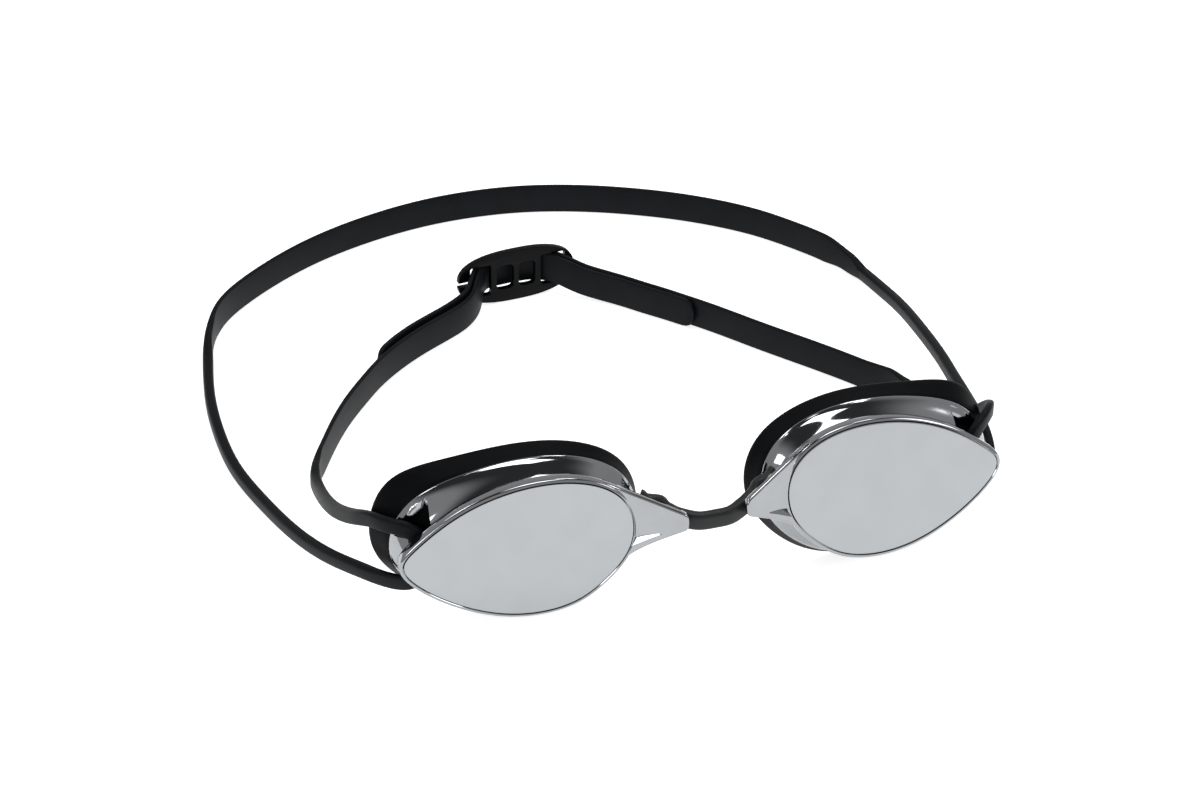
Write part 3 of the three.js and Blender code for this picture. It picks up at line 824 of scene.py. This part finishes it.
    def face_seal(self) -> bpy.types.Object:
        """The silicone seal: a sleeve inside the cup, then a lip that flares back to the face."""
        sleeve = ((0, 0.0, 2.2), (0, 0.0, 6.2), (0.3, 0.0, 9.4), (1.0, -2.4, self.lip + 0.62))
        flare_start = ((1, -1.0, self.lip + 0.7),)
        rings = [self.ring("eye", "lip", *row) for row in (*sleeve, *flare_start)]
        flare = (
            (0.0, -0.55, self.lip + 0.75, 0.0), (0.25, -0.45, 12.0, 0.35), (0.6, -0.35, 13.8, 0.7),
            (0.9, -0.12, 15.6, 1.0), (1.0, 0.0, self.seal, 1.0), (1.0, -0.6, self.seal + 0.85, 1.0),
            (1.0, -2.4, self.seal + 0.6, 1.0), (1.0, -5.2, self.seal - 1.6, 1.0),
        )
        rings += self.rings("lip", "seal", flare, 5, self.wrap)
        inside = ((0.3, -0.6, 12.2), (0, -1.5, 8.2), (0, -1.5, 2.2))
        rings += [self.ring("eye", "lip", *row) for row in inside]
        return hoop(f"{self.side.word}_face_seal", rings)

    def peg(self) -> bpy.types.Object:
        """The peg behind the arm that holds the bridge."""
        start = self.arm_depth(-self.peg_reach) + self.arm_thickness - 0.8
        profile = (
            (1.3, start), (1.3, start + 6.0), (2.0, start + 6.1), (2.1, start + 6.4), (0.6, start + 7.0),
        )
        angles = np.linspace(0, 2 * math.pi, 32, endpoint=False)
        rings = []
        for radius, depth in profile:
            across = radius * np.cos(angles) - self.peg_reach
            rings.append(self.to_row(np.stack([across, np.full(32, depth), radius * np.sin(angles)], axis=1)))
        return skin(f"{self.side.word}_bridge_peg", rings)

    def build(self, paint: Paint) -> None:
        """Builds and dresses every piece of the cup, riding on the cup's body.

        Args:
            paint: the shared materials.
        """
        word = self.side.word
        pieces = [
            (self.lens_plate(), MIRROR, 30, (f"{word}_lens",)),
            (self.shell(), CHROME, 42, (f"{word}_eye_cup",)),
            (self.arm(), CHROME, 42, ()),
            (self.peg(), CHROME, 30, ()),
            (self.face_seal(), SEAL, 60, (f"{word}_seal",)),
        ]
        for made, finish, sharp, nodes in pieces:
            finish_piece(made, paint.of(finish), sharp)
            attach(made, self.side.body.value)
            if nodes:
                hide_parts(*nodes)
            report(made)


# ---- strips of silicone: strap and bridge ----
class StripTree:
    """A Geometry Nodes tree that sweeps a rounded strip along a spine whose points carry the section."""

    def __init__(self) -> None:
        """Builds the tree, with its inputs named."""
        self.tree = bpy.data.node_groups.new("moulded_strip", "GeometryNodeTree")
        face = self.tree.interface
        face.new_socket("Geometry", in_out="INPUT", socket_type="NodeSocketGeometry")
        for name, kind in (
            ("Section points", "NodeSocketInt"), ("Edge rounding", "NodeSocketFloat"),
            ("Material", "NodeSocketMaterial"),
        ):
            face.new_socket(name, in_out="INPUT", socket_type=kind)
        face.new_socket("Geometry", in_out="OUTPUT", socket_type="NodeSocketGeometry")
        self._fill(Nodes(self.tree))

    def _fill(self, nodes: Nodes) -> None:
        """Adds the tree's nodes and links.

        Args:
            nodes: the maker of the tree's nodes.
        """
        way_in = nodes.tree.nodes.new("NodeGroupInput")
        inputs = {socket.name: Wire(nodes, socket) for socket in way_in.outputs if socket.name}
        position = nodes.node("GeometryNodeInputPosition")
        count = inputs["Section points"]
        circle = nodes.node("GeometryNodeCurvePrimitiveCircle", {"mode": "RADIUS"}, {"Resolution": count})
        half_step = nodes.node("ShaderNodeMath", {"operation": "DIVIDE"}, {0: math.pi, 1: count})
        turn = nodes.node("ShaderNodeCombineXYZ", {}, {"Z": half_step})
        circle = nodes.node("GeometryNodeTransform", {}, {"Geometry": circle, "Rotation": turn})
        profile = self._store(nodes, circle, "ring", position)
        spine = nodes.node("GeometryNodeMeshToCurve", {}, {0: inputs["Geometry"]})
        spine = self._store(nodes, spine, "middle", position)
        swept = nodes.node(
            "GeometryNodeCurveToMesh", {}, {"Curve": spine, "Profile Curve": profile, "Fill Caps": True}
        )
        ring = self._read(nodes, "ring", "FLOAT_VECTOR")
        corner = nodes.node("ShaderNodeVectorMath", {"operation": "SIGN"}, {0: ring})
        width = self._read(nodes, "width", "FLOAT")
        thickness = self._read(nodes, "thickness", "FLOAT")
        across = self._read(nodes, "across", "FLOAT_VECTOR")
        outward = self._read(nodes, "outward", "FLOAT_VECTOR")
        radius = thickness * inputs["Edge rounding"]
        ring_x, ring_y = self._split(nodes, ring)
        corner_x, corner_y = self._split(nodes, corner)
        sideways = corner_x * (width * 0.5 - radius) + ring_x * radius
        upward = corner_y * (thickness * 0.5 - radius) + ring_y * radius
        place = self._read(nodes, "middle", "FLOAT_VECTOR") + across * sideways + outward * upward
        shaped = nodes.node("GeometryNodeSetPosition", {}, {"Geometry": swept, "Position": place})
        real = nodes.node("GeometryNodeRealizeInstances", {}, {"Geometry": shaped})
        done = nodes.node("GeometryNodeSetMaterial", {}, {"Geometry": real, "Material": inputs["Material"]})
        way_out = nodes.tree.nodes.new("NodeGroupOutput")
        nodes.tree.links.new(done.socket, way_out.inputs["Geometry"])

    @staticmethod
    def _store(nodes: Nodes, geometry: Wire, name: str, value: Wire) -> Wire:
        """Stores a vector under a name on a curve's points."""
        settings = {"data_type": "FLOAT_VECTOR", "domain": "POINT"}
        values = {"Geometry": geometry, "Name": name, "Value": value}
        return nodes.node("GeometryNodeStoreNamedAttribute", settings, values)

    @staticmethod
    def _read(nodes: Nodes, name: str, kind: str) -> Wire:
        """Reads an attribute stored under a name."""
        return nodes.node("GeometryNodeInputNamedAttribute", {"data_type": kind}, {"Name": name})

    @staticmethod
    def _split(nodes: Nodes, vector: Wire) -> tuple[Wire, Wire]:
        """The first two parts of a vector."""
        first = nodes.node("ShaderNodeSeparateXYZ", {}, {0: vector}, output="X")
        second = nodes.node("ShaderNodeSeparateXYZ", {}, {0: vector}, output="Y")
        return first, second

    @staticmethod
    def _taper(middle: np.ndarray, width: np.ndarray, rounded: tuple[bool, bool]) -> np.ndarray:
        """Narrows the rounded ends of a strip.

        Args:
            middle: points along the strip.
            width: full width at each point.
            rounded: whether the start and the end are rounded off.

        Returns:
            Share of the full width at each point.
        """
        run = np.concatenate([[0], np.cumsum(np.linalg.norm(np.diff(middle, axis=0), axis=1))])
        share = np.ones(len(run))
        for ends, gap in zip(rounded, (run, run[-1] - run)):
            if ends:
                near = np.clip(gap / (width * 0.42), 0, 1)
                share = np.minimum(share, 0.3 + 0.7 * np.sqrt(1 - (1 - near) ** 2))
        return share

    def sweep(
        self, name: str, spine: Spine, start: float, end: float, material: bpy.types.Material,
        spacing: float = 1.2,
        rounding: float = 0.36, section: int = 20, rounded: tuple[bool, bool] = (False, False),
    ) -> bpy.types.Object:
        """Sweeps one stretch of a spine.

        Args:
            name: the piece's name.
            spine: the whole route.
            start: parameter where the stretch starts.
            end: parameter where it ends.
            material: its material.
            spacing: distance between sections, millimetres.
            rounding: corner radius as a share of the thickness.
            section: points round the section.
            rounded: whether the start and the end are rounded off.

        Returns:
            The strip as a plain mesh object.
        """
        middle, across, outward, width, thickness = spine.sections(start, end, spacing)
        width = width * self._taper(middle, width, rounded)
        mesh = bpy.data.meshes.new(name)
        mesh.from_pydata([tuple(p) for p in middle], [(i, i + 1) for i in range(len(middle) - 1)], [])
        for label, values in (("across", across), ("outward", outward)):
            layer = mesh.attributes.new(label, "FLOAT_VECTOR", "POINT")
            layer.data.foreach_set("vector", values.astype(np.float32).ravel())
        for label, values in (("width", width), ("thickness", thickness)):
            layer = mesh.attributes.new(label, "FLOAT", "POINT")
            layer.data.foreach_set("value", values.astype(np.float32))
        made = bpy.data.objects.new(name, mesh)
        bpy.context.collection.objects.link(made)
        modifier = made.modifiers.new("strip", "NODES")
        modifier.node_group = self.tree
        items = self.tree.interface.items_tree
        names = {item.name: item.identifier for item in items if item.in_out == "INPUT"}
        modifier[names["Section points"]] = section
        modifier[names["Edge rounding"]] = rounding
        modifier[names["Material"]] = material
        baked(made)
        for label in ("across", "outward", "width", "thickness", "middle", "ring"):
            layer = made.data.attributes.get(label)
            if layer:
                made.data.attributes.remove(layer)
        turn_outward(made)
        return made


class Spine:
    """A route with a section that changes along it.

    Each row is x, y, z of the middle, the direction that the outer face looks (degrees from +X in plan),
    and the section's width and thickness, all in millimetres from the drawing's origin.
    """

    def __init__(self, rows: Sequence[Row]) -> None:
        """Fits the smooth route.

        Args:
            rows: the route's rows.
        """
        self.rows = np.array(rows, float)
        self.path = Smooth(self.rows[:, :3])
        self.facing = Smooth(np.column_stack([self.rows[:, :3], self.rows[:, 3]]))

    def sections(self, start: float, end: float, spacing: float) -> tuple[np.ndarray, ...]:
        """Frames and sizes along a stretch.

        Args:
            start: parameter where the stretch starts.
            end: parameter where it ends.
            spacing: distance between sections, millimetres.

        Returns:
            Middles, unit vectors across and outward, widths and thicknesses, in metres.
        """
        dense = np.linspace(start, end, 2000)
        track = self.path.at(dense)
        run = np.concatenate([[0], np.cumsum(np.linalg.norm(np.diff(track, axis=0), axis=1))])
        places = np.interp(np.linspace(0, run[-1], max(8, int(run[-1] / spacing) + 1)), run, dense)
        middle = self.path.at(places)
        nudge = 1e-3
        last = len(self.rows) - 1
        ahead = self.path.at(np.minimum(places + nudge, last))
        behind = self.path.at(np.maximum(places - nudge, 0))
        along = ahead - behind
        along /= np.linalg.norm(along, axis=1)[:, None]
        look = np.radians(self.facing.at(places)[:, 3])
        wanted = np.stack([np.cos(look), np.sin(look), np.zeros(len(look))], axis=1)
        across = np.cross(wanted, along)
        across /= np.linalg.norm(across, axis=1)[:, None]
        outward = np.cross(along, across)
        first = np.minimum(np.floor(places).astype(int), last - 1)
        share = places - first
        share = share * share * (3 - 2 * share)
        sizes = self.rows[first, 4:6] * (1 - share)[:, None] + self.rows[first + 1, 4:6] * share[:, None]
        return (middle + np.array(ORIGIN)) * MM, across, outward, sizes[:, 0] * MM, sizes[:, 1] * MM

    def nearest(self, x: float, y: float, low: int = 0, high: int | None = None) -> float:
        """Parameter of the route's point nearest to a place in plan.

        Args:
            x: millimetres from the drawing's origin.
            y: millimetres from the drawing's origin.
            low: first row that is looked at.
            high: last row that is looked at.

        Returns:
            The parameter.
        """
        dense = np.linspace(low, len(self.rows) - 1 if high is None else high, 4000)
        gaps = np.linalg.norm(self.path.at(dense)[:, :2] - np.array([x, y]), axis=1)
        return float(dense[gaps.argmin()])


WIDE = (9.4, 1.4)
NARROW = (4.1, 3.1)
TAPER = (6.75, 2.25)
SLIM = (4.3, 2.3)

REAR_BAND = (
    (102.4, 145.2, 2.7, 14, *NARROW), (100.2, 152.2, 3.6, 25, *TAPER), (95.6, 160.8, 4.75, 30, *WIDE),
    (91.2, 168.4, 4.75, 34, *WIDE), (82.6, 180.6, 4.75, 41, *WIDE), (72.7, 190.8, 4.75, 49, *WIDE),
    (62.2, 199.1, 4.75, 55, *WIDE), (51.2, 206, 4.75, 60, *WIDE), (39.7, 211.9, 4.75, 66, *WIDE),
    (27.8, 216.6, 4.75, 72, *WIDE), (15.4, 219.9, 4.75, 80, *WIDE), (2.4, 221.4, 4.75, 88, *WIDE),
    (-11, 221.2, 4.75, 95, *WIDE), (-24.6, 219.1, 4.75, 102, *WIDE), (-38.8, 215.1, 4.75, 109, *WIDE),
    (-53.2, 209.2, 4.75, 116, *WIDE), (-68.2, 200.4, 4.75, 125, *WIDE), (-83.4, 188.4, 4.75, 137, *WIDE),
    (-92, 178, 4.75, 146, *WIDE), (-96.9, 168.2, 3.6, 154, *TAPER), (-99.6, 158.6, 2.4, 161, *NARROW),
)
LEFT_CORD = (
    (-99.7, 158.2, 2.4, 161, *NARROW), (-103.7, 138, 2.2, 173, *NARROW), (-105.6, 117, 2.2, 178, *NARROW),
    (-105.4, 98, 2.6, 183, *NARROW), (-102.7, 78.6, 3.8, 188, *NARROW), (-98.6, 55, 7, 195, *NARROW),
    (-93.6, 36.6, 10.6, 204, *NARROW), (-88.6, 23.6, 13.8, 214, *NARROW), (-83.8, 14.6, 15.6, 228, *SLIM),
    (-78.8, 9, 18, 250, *SLIM), (-76.6, 8, 22.4, 270, *SLIM), (-76.1, 8.4, 27.6, 270, *SLIM),
    (-78.2, 9.2, 32.6, 246, *SLIM), (-83.6, 12, 34.4, 226, *SLIM), (-87, 17.6, 33.4, 206, *SLIM),
    (-89.3, 26, 29.4, 190, *NARROW), (-90.6, 40, 22.6, 183, *NARROW), (-90, 56, 15.8, 176, *NARROW),
    (-88.8, 68, 11.2, 169, *NARROW), (-87.8, 76, 8.8, 164, *NARROW),
)
RIGHT_CORD = (
    (102.5, 144.3, 2.8, 13, *NARROW), (103, 133, 4.3, 6, *NARROW), (102.9, 117, 6.9, 0, *NARROW),
    (101.2, 98, 10.1, -5, *NARROW), (98.7, 77, 13.2, -7, *NARROW), (96.4, 63, 15.2, -7, *NARROW),
    (93.9, 48, 17.4, -7, *NARROW), (92.1, 34, 17.9, -9, *NARROW), (90, 22, 17, -20, *SLIM),
    (86, 13.6, 16, -38, *SLIM), (80.6, 8, 16, -60, *SLIM), (77, 5.8, 19.6, -90, *SLIM),
    (76.3, 7, 26, -90, *SLIM), (78.1, 8.3, 31.6, -70, *SLIM), (82, 10.8, 34.3, -50, *SLIM),
    (86.4, 16.4, 33.8, -30, *SLIM), (88.6, 23.8, 29, -12, *SLIM), (88.8, 33, 21.6, 0, *NARROW),
    (88.2, 44, 15, 8, *NARROW), (87.9, 56, 11.2, 15, *NARROW), (87.3, 64, 9.3, 19, *NARROW),
)
LEFT_BAND = (
    (-87.6, 77.4, 8.4, 163, *NARROW), (-85.8, 84, 6.6, 158, *TAPER), (-82.6, 91.2, 5.2, 153, *WIDE),
    (-78.6, 98.9, 4.75, 151, *WIDE), (-73.2, 108.2, 4.75, 147, *WIDE), (-66.9, 117.4, 4.75, 143, *WIDE),
    (-60, 126, 4.75, 138, *WIDE), (-54.4, 132.4, 4.75, 134, *WIDE), (-47, 139.2, 4.75, 130, *WIDE),
    (-39.2, 145, 4.75, 125, *WIDE), (-31.8, 149.6, 4.75, 122, *WIDE), (-24.6, 153.9, 4.8, 123, *WIDE),
    (-19.9, 157.3, 5.2, 129, *WIDE), (-16.6, 160.9, 6.2, 137, *WIDE), (-14.5, 164.8, 7.6, 142, *WIDE),
    (-12.7, 168.2, 8.4, 140, *WIDE), (-10.2, 171, 8.5, 122, *WIDE), (-6, 172, 8.5, 102, *WIDE),
    (1, 172.5, 8.5, 92, *WIDE), (5.4, 171.9, 8.5, 74, *WIDE), (8.2, 170.4, 8.5, 56, *WIDE),
    (10.4, 168.5, 8.4, 48, *WIDE), (13.2, 166.1, 7.6, 50, *WIDE), (16.4, 163.6, 6.4, 53, *WIDE),
    (20.2, 160.8, 5.4, 50, *WIDE), (27, 154.6, 4.85, 42, *WIDE), (31.9, 148.9, 4.75, 41, *WIDE),
    (36.5, 143.6, 4.75, 41, *WIDE), (40.8, 138.4, 4.75, 41, *WIDE), (43.9, 134.8, 4.75, 41, *WIDE),
)
RIGHT_BAND = (
    (87.1, 65.4, 9, 20, *NARROW), (86.2, 72, 7.4, 25, *TAPER), (84, 78.8, 6, 31, *WIDE),
    (80.2, 85.8, 5, 34, *WIDE), (75.6, 93.2, 4.75, 35, *WIDE), (67, 105.3, 4.75, 36, *WIDE),
    (58.6, 116.8, 4.75, 37, *WIDE), (50.8, 128, 4.75, 39, *WIDE), (45.8, 134.8, 4.75, 41, *WIDE),
    (42.2, 139.4, 4.75, 41, *WIDE), (37.9, 144.8, 4.75, 41, *WIDE), (33.3, 150.2, 4.75, 42, *WIDE),
    (28.3, 156, 4.85, 44, *WIDE), (21.6, 162.2, 5.4, 50, *WIDE), (17.6, 165, 6.4, 53, *WIDE),
    (14.6, 167.4, 7.6, 50, *WIDE), (12, 169.8, 8.4, 48, *WIDE), (9.4, 172.2, 8.5, 56, *WIDE),
    (5.8, 173.8, 8.5, 74, *WIDE), (0.8, 174.4, 8.5, 92, *WIDE), (-4, 174.3, 8.5, 96, *WIDE),
    (-8.8, 173.6, 8.5, 104, *WIDE), (-12.3, 171.6, 8.5, 126, *WIDE), (-14.5, 168.4, 8.4, 142, *WIDE),
    (-16.6, 164.6, 7.6, 142, *WIDE), (-18.7, 161.2, 6.6, 136, *WIDE), (-21.8, 158.8, 5.8, 128, *WIDE),
    (-26, 156.2, 5.3, 123, *WIDE), (-33.2, 151.9, 5.2, 122, *WIDE), (-40.8, 147.2, 5.2, 125, *WIDE),
    (-48.4, 141.2, 5.2, 131, *WIDE), (-53.6, 136, 5.2, 135, *WIDE),
)


@dataclass
class Strap:
    """The one strap: from its tail through the buckle, round both cups, and back into the buckle."""

    tree: StripTree
    free_from: float = 0.0  # row frame Y of the stretch that stays with the strap, metres
    held_from: float = -0.075  # row frame Y where a cord's stretch next to its cup begins, metres

    def build(self, paint: Paint) -> None:
        """Builds and dresses every stretch; the rear stretch rides on the bridge and strap body.

        Args:
            paint: the shared materials.
        """
        rows = [*RIGHT_BAND[::-1], *RIGHT_CORD[::-1][1:], *REAR_BAND, *LEFT_CORD[1:], *LEFT_BAND[1:]]
        spine = Spine(rows)
        material = paint.of(STRAP)
        right_band = len(RIGHT_BAND) - 1
        rear = right_band + len(RIGHT_CORD)
        rear_end = rear + len(REAR_BAND) - 1
        left_band = rear_end + len(LEFT_CORD)
        last = len(rows) - 1
        in_buckle_right = spine.nearest(-4, 174.3, 0, right_band)
        in_buckle_left = spine.nearest(1, 172.5, left_band, last)
        right_fixed = spine.nearest(58.6, 116.8, 0, right_band)
        left_fixed = spine.nearest(-60, 126, left_band, last)
        root, left, right, slider = Body.ROOT.value, Body.LEFT.value, Body.RIGHT.value, Body.BUCKLE.value
        held = {"start": (0, self.free_from, 0), "end": (0, self.held_from, 0)}
        from_right = {"start": (0.052, 0.022, 0), "end": (0.023, 0.052, 0)}
        from_left = {"start": (-0.053, 0.025, 0), "end": (-0.024, 0.050, 0)}
        stretches = (
            ("strap_left_tail", 0.0, in_buckle_right, slider, from_left, ()),
            ("strap_right_front", in_buckle_right, right_fixed, slider, from_right, ("strap_right_band",)),
            ("strap_right_loop", right_fixed, rear, right, held, ("strap_right_cord",)),
            ("strap_rear", rear, rear_end, None, {}, ("strap_rear_band",)),
            ("strap_left_loop", rear_end, left_fixed, left, held, ("strap_left_cord",)),
            ("strap_left_front", left_fixed, in_buckle_left, slider, from_left, ("strap_left_band",)),
            ("strap_right_tail", in_buckle_left, float(last), slider, from_right, ()),
        )
        for name, start, end, body, ends, nodes in stretches:
            made = self.tree.sweep(name, spine, start, end, material, rounded=(start == 0, end == last))
            finish_piece(made, material, 50)
            if body is None:
                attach(made, root)
            else:
                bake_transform(made)
            if nodes:
                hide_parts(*nodes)
            report(made)


BRIDGE_HALF = (
    (0, -3.7, 28.9, 5.0), (4.5, -3.4, 29.0, 5.0), (8.6, -1.4, 29.6, 5.0),
    (12.4, -0.2, 30.8, 6.4), (14.8, 0.7, 31.9, 8.8), (17.2, 1.6, 32.1, 9.0), (19.6, 2.5, 32.7, 10.4),
)


@dataclass
class NoseBridge:
    """The soft bridge behind the two arms, in two halves that meet in the middle."""

    tree: StripTree
    thickness: float = 3.2

    def build(self, paint: Paint) -> None:
        """Builds and dresses both halves.

        Args:
            paint: the shared materials.
        """
        for side in Side:
            sign = side.value
            rows = [(sign * x, y, z, 270, height, self.thickness) for x, y, z, height in BRIDGE_HALF]
            mirrored = [
                (-sign * x, y, z, 270, height, self.thickness) for x, y, z, height in BRIDGE_HALF[1:3]
            ]
            spine = Spine([*mirrored[::-1], *rows])
            material = paint.of(BRIDGE)
            last = len(spine.rows) - 1
            made = self.tree.sweep(f"nose_bridge_{side.word}", spine, 2, last, material, 0.5, 0.4, 28)
            finish_piece(made, material, 50)
            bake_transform(made)
            if side is Side.LEFT:
                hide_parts("nose_bridge")
            report(made)


# ---- buckle ----
@dataclass
class Buckle:
    """The oval slider: a plate with four windows, split at both ends so that the strap slips in."""

    length: float = 37.4
    height: float = 17.0
    thickness: float = 2.0
    roundness: float = 2.5
    yaw: float = 4.0
    centre: tuple[float, float] = (-1.6, 169.2)
    end_windows: tuple[tuple[float, float], ...] = ((-14.8, -8.2), (8.0, 15.8))
    end_window_half: float = 5.1
    middle_windows: tuple[tuple[float, float], ...] = ((-6.4, -0.8), (0.8, 6.2))
    middle_window_half: float = 4.1

    def to_row(self, points: np.ndarray) -> np.ndarray:
        """Points of the plate's own space, x along and z up, as row frame points in metres."""
        place = Matrix.Translation(ORIGIN + Vector((*self.centre, self.height / 2)))
        matrix = np.array(place @ Matrix.Rotation(math.radians(self.yaw), 4, "Z"))
        return (points @ matrix[:3, :3].T + matrix[:3, 3]) * MM

    def plate(self) -> bpy.types.Object:
        """The oval plate with its windows and end splits."""
        angles = np.linspace(0, 2 * math.pi, 96, endpoint=False)
        power = 2 / self.roundness
        x = self.length / 2 * np.sign(np.cos(angles)) * np.abs(np.cos(angles)) ** power
        z = self.height / 2 * np.sign(np.sin(angles)) * np.abs(np.sin(angles)) ** power
        depths = (-self.thickness / 2, self.thickness / 2)
        rings = [self.to_row(np.stack([x, np.full(96, y), z], axis=1)) for y in depths]
        made = skin("strap_buckle", rings)
        cutters = [
            self.block((a, -5, -half), (b, 5, half), corner)
            for windows, half, corner in (
                (self.end_windows, self.end_window_half, 0.7),
                (self.middle_windows, self.middle_window_half, 1.6),
            )
            for a, b in windows
        ]
        cutters += [self.block((12, -5, -0.8), (20, 5, 0.8)), self.block((-20, -5, -0.8), (-12, 5, 0.8))]
        cut(made, cutters)
        bevel = made.modifiers.new("edges", "BEVEL")
        bevel.width = 0.45 * MM
        bevel.segments = 3
        bevel.limit_method = "ANGLE"
        bevel.angle_limit = math.radians(40)
        return baked(made)

    def block(self, low: Row, high: Row, rounding: float = 0.0) -> bpy.types.Object:
        """A box in the plate's own space, for cutting.

        Args:
            low: lowest corner.
            high: highest corner.
            rounding: radius of the corners seen from the front.

        Returns:
            The box as an object.
        """
        corners = []
        for cx, cz, turn in ((1, 1, 0), (-1, 1, 90), (-1, -1, 180), (1, -1, 270)):
            mx = (high[0] - rounding) if cx > 0 else (low[0] + rounding)
            mz = (high[2] - rounding) if cz > 0 else (low[2] + rounding)
            for step in (range(5) if rounding else (0,)):
                angle = math.radians(turn + step * 22.5)
                corners.append((mx + rounding * math.cos(angle), mz + rounding * math.sin(angle)))
        flat = np.array(corners)
        rings = [
            self.to_row(np.stack([flat[:, 0], np.full(len(flat), y), flat[:, 1]], axis=1))
            for y in (low[1], high[1])
        ]
        return skin("cutter", rings)

    def build(self, paint: Paint) -> None:
        """Builds and dresses the buckle.

        Args:
            paint: the shared materials.
        """
        made = self.plate()
        finish_piece(made, paint.of(PLASTIC), 40)
        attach(made, Body.BUCKLE.value)
        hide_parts("buckle")
        report(made)


# ---- studio ----
@dataclass
class Studio:
    """A pale floor, soft lights and the camera."""

    floor_half: float = 6.0
    camera_at: tuple[float, float, float] = (-0.26847, -0.83237, 0.5463)
    look_at: tuple[float, float, float] = (-0.02907, -0.10762, 0.0694)
    focal: float = 106.4
    sensor: float = 36.0

    def floor(self) -> None:
        """The pale floor, which isn't part of the object."""
        half = self.floor_half
        corners = np.array([(-half, -half, 0), (half, -half, 0), (half, half, 0), (-half, half, 0)])
        made = mesh_object("floor", corners, [[0, 1, 2, 3]])
        material = bpy.data.materials.new("floor_paper")
        material.use_nodes = True
        material.node_tree.nodes.clear()
        nodes = Nodes(material.node_tree)
        shader = nodes.node(
            "ShaderNodeBsdfPrincipled", {},
            {
                "Base Color": (0.93, 0.93, 0.93, 1), "Roughness": 0.9, "Specular IOR Level": 0.1,
                "Emission Color": (1, 1, 1, 1), "Emission Strength": 0.74,
            },
        )
        nodes.node("ShaderNodeOutputMaterial", {}, {"Surface": shader})
        made.data.materials.append(material)

    def lamp(self, name: str, place: Row, target: Row, size: tuple[float, float], power: float) -> None:
        """Adds one soft rectangular light.

        Args:
            name: the light's name.
            place: where it stands, metres.
            target: where it points, metres.
            size: its width and height, metres.
            power: watts.
        """
        data = bpy.data.lights.new(name, "AREA")
        data.shape = "RECTANGLE"
        data.size, data.size_y = size
        data.energy = power
        made = bpy.data.objects.new(name, data)
        bpy.context.collection.objects.link(made)
        made.location = place
        made.rotation_euler = (Vector(target) - Vector(place)).to_track_quat("-Z", "Y").to_euler()

    def build(self) -> None:
        """Builds the floor, the world, the lights and the camera."""
        self.floor()
        world = bpy.data.worlds.new("studio")
        world.use_nodes = True
        world.node_tree.nodes.clear()
        nodes = Nodes(world.node_tree)
        direction = nodes.node("ShaderNodeTexCoord", {}, {}, "Generated")
        height = nodes.node("ShaderNodeSeparateXYZ", {}, {0: direction}, "Z")
        dimmed = nodes.node(
            "ShaderNodeMapRange", {"interpolation_type": "SMOOTHSTEP"},
            {"Value": height, "From Min": 0.62, "From Max": 0.90, "To Min": 0.52, "To Max": 0.06},
        )
        sky = nodes.node("ShaderNodeBackground", {}, {"Color": (1, 1, 1, 1), "Strength": dimmed})
        nodes.node("ShaderNodeOutputWorld", {}, {"Surface": sky})
        bpy.context.scene.world = world
        bpy.context.scene.view_settings.view_transform = "Standard"
        self.lamp("overhead", (0.1, 0.1, 1.6), (0, 0, 0), (0.80, 0.50), 8)
        self.lamp("front_left", (-1.6, -1.3, 1.1), (0, -0.05, 0), (0.80, 0.60), 8)
        self.lamp("front_right", (1.7, -1.2, 1.2), (0, -0.05, 0), (0.70, 0.70), 7)
        self.lamp("rear_left", (-0.9, 0.8, 1.5), (0, 0, 0), (0.45, 0.45), 4)
        self.lamp("rear_right", (0.9, 1.2, 1.9), (0, 0, 0), (0.50, 0.30), 5)
        data = bpy.data.cameras.new("camera")
        data.lens = self.focal
        data.sensor_width = self.sensor
        data.clip_start, data.clip_end = 0.01, 50
        camera = bpy.data.objects.new("camera", data)
        bpy.context.collection.objects.link(camera)
        camera.location = self.camera_at
        aim = Vector(self.look_at) - Vector(self.camera_at)
        camera.rotation_euler = aim.to_track_quat("-Z", "Y").to_euler()
        bpy.context.scene.camera = camera


def main() -> None:
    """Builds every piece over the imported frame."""
    logging.basicConfig(level=logging.INFO, format="%(name)s %(message)s")
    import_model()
    paint = Paint()
    tree = StripTree()
    EyeCup(Side.LEFT, yaw=4.3, lean=4.8).build(paint)
    EyeCup(Side.RIGHT, yaw=3.2, lean=11.5).build(paint)
    NoseBridge(tree).build(paint)
    Strap(tree).build(paint)
    Buckle().build(paint)
    Studio().build()


if __name__ == "__main__":
    main()
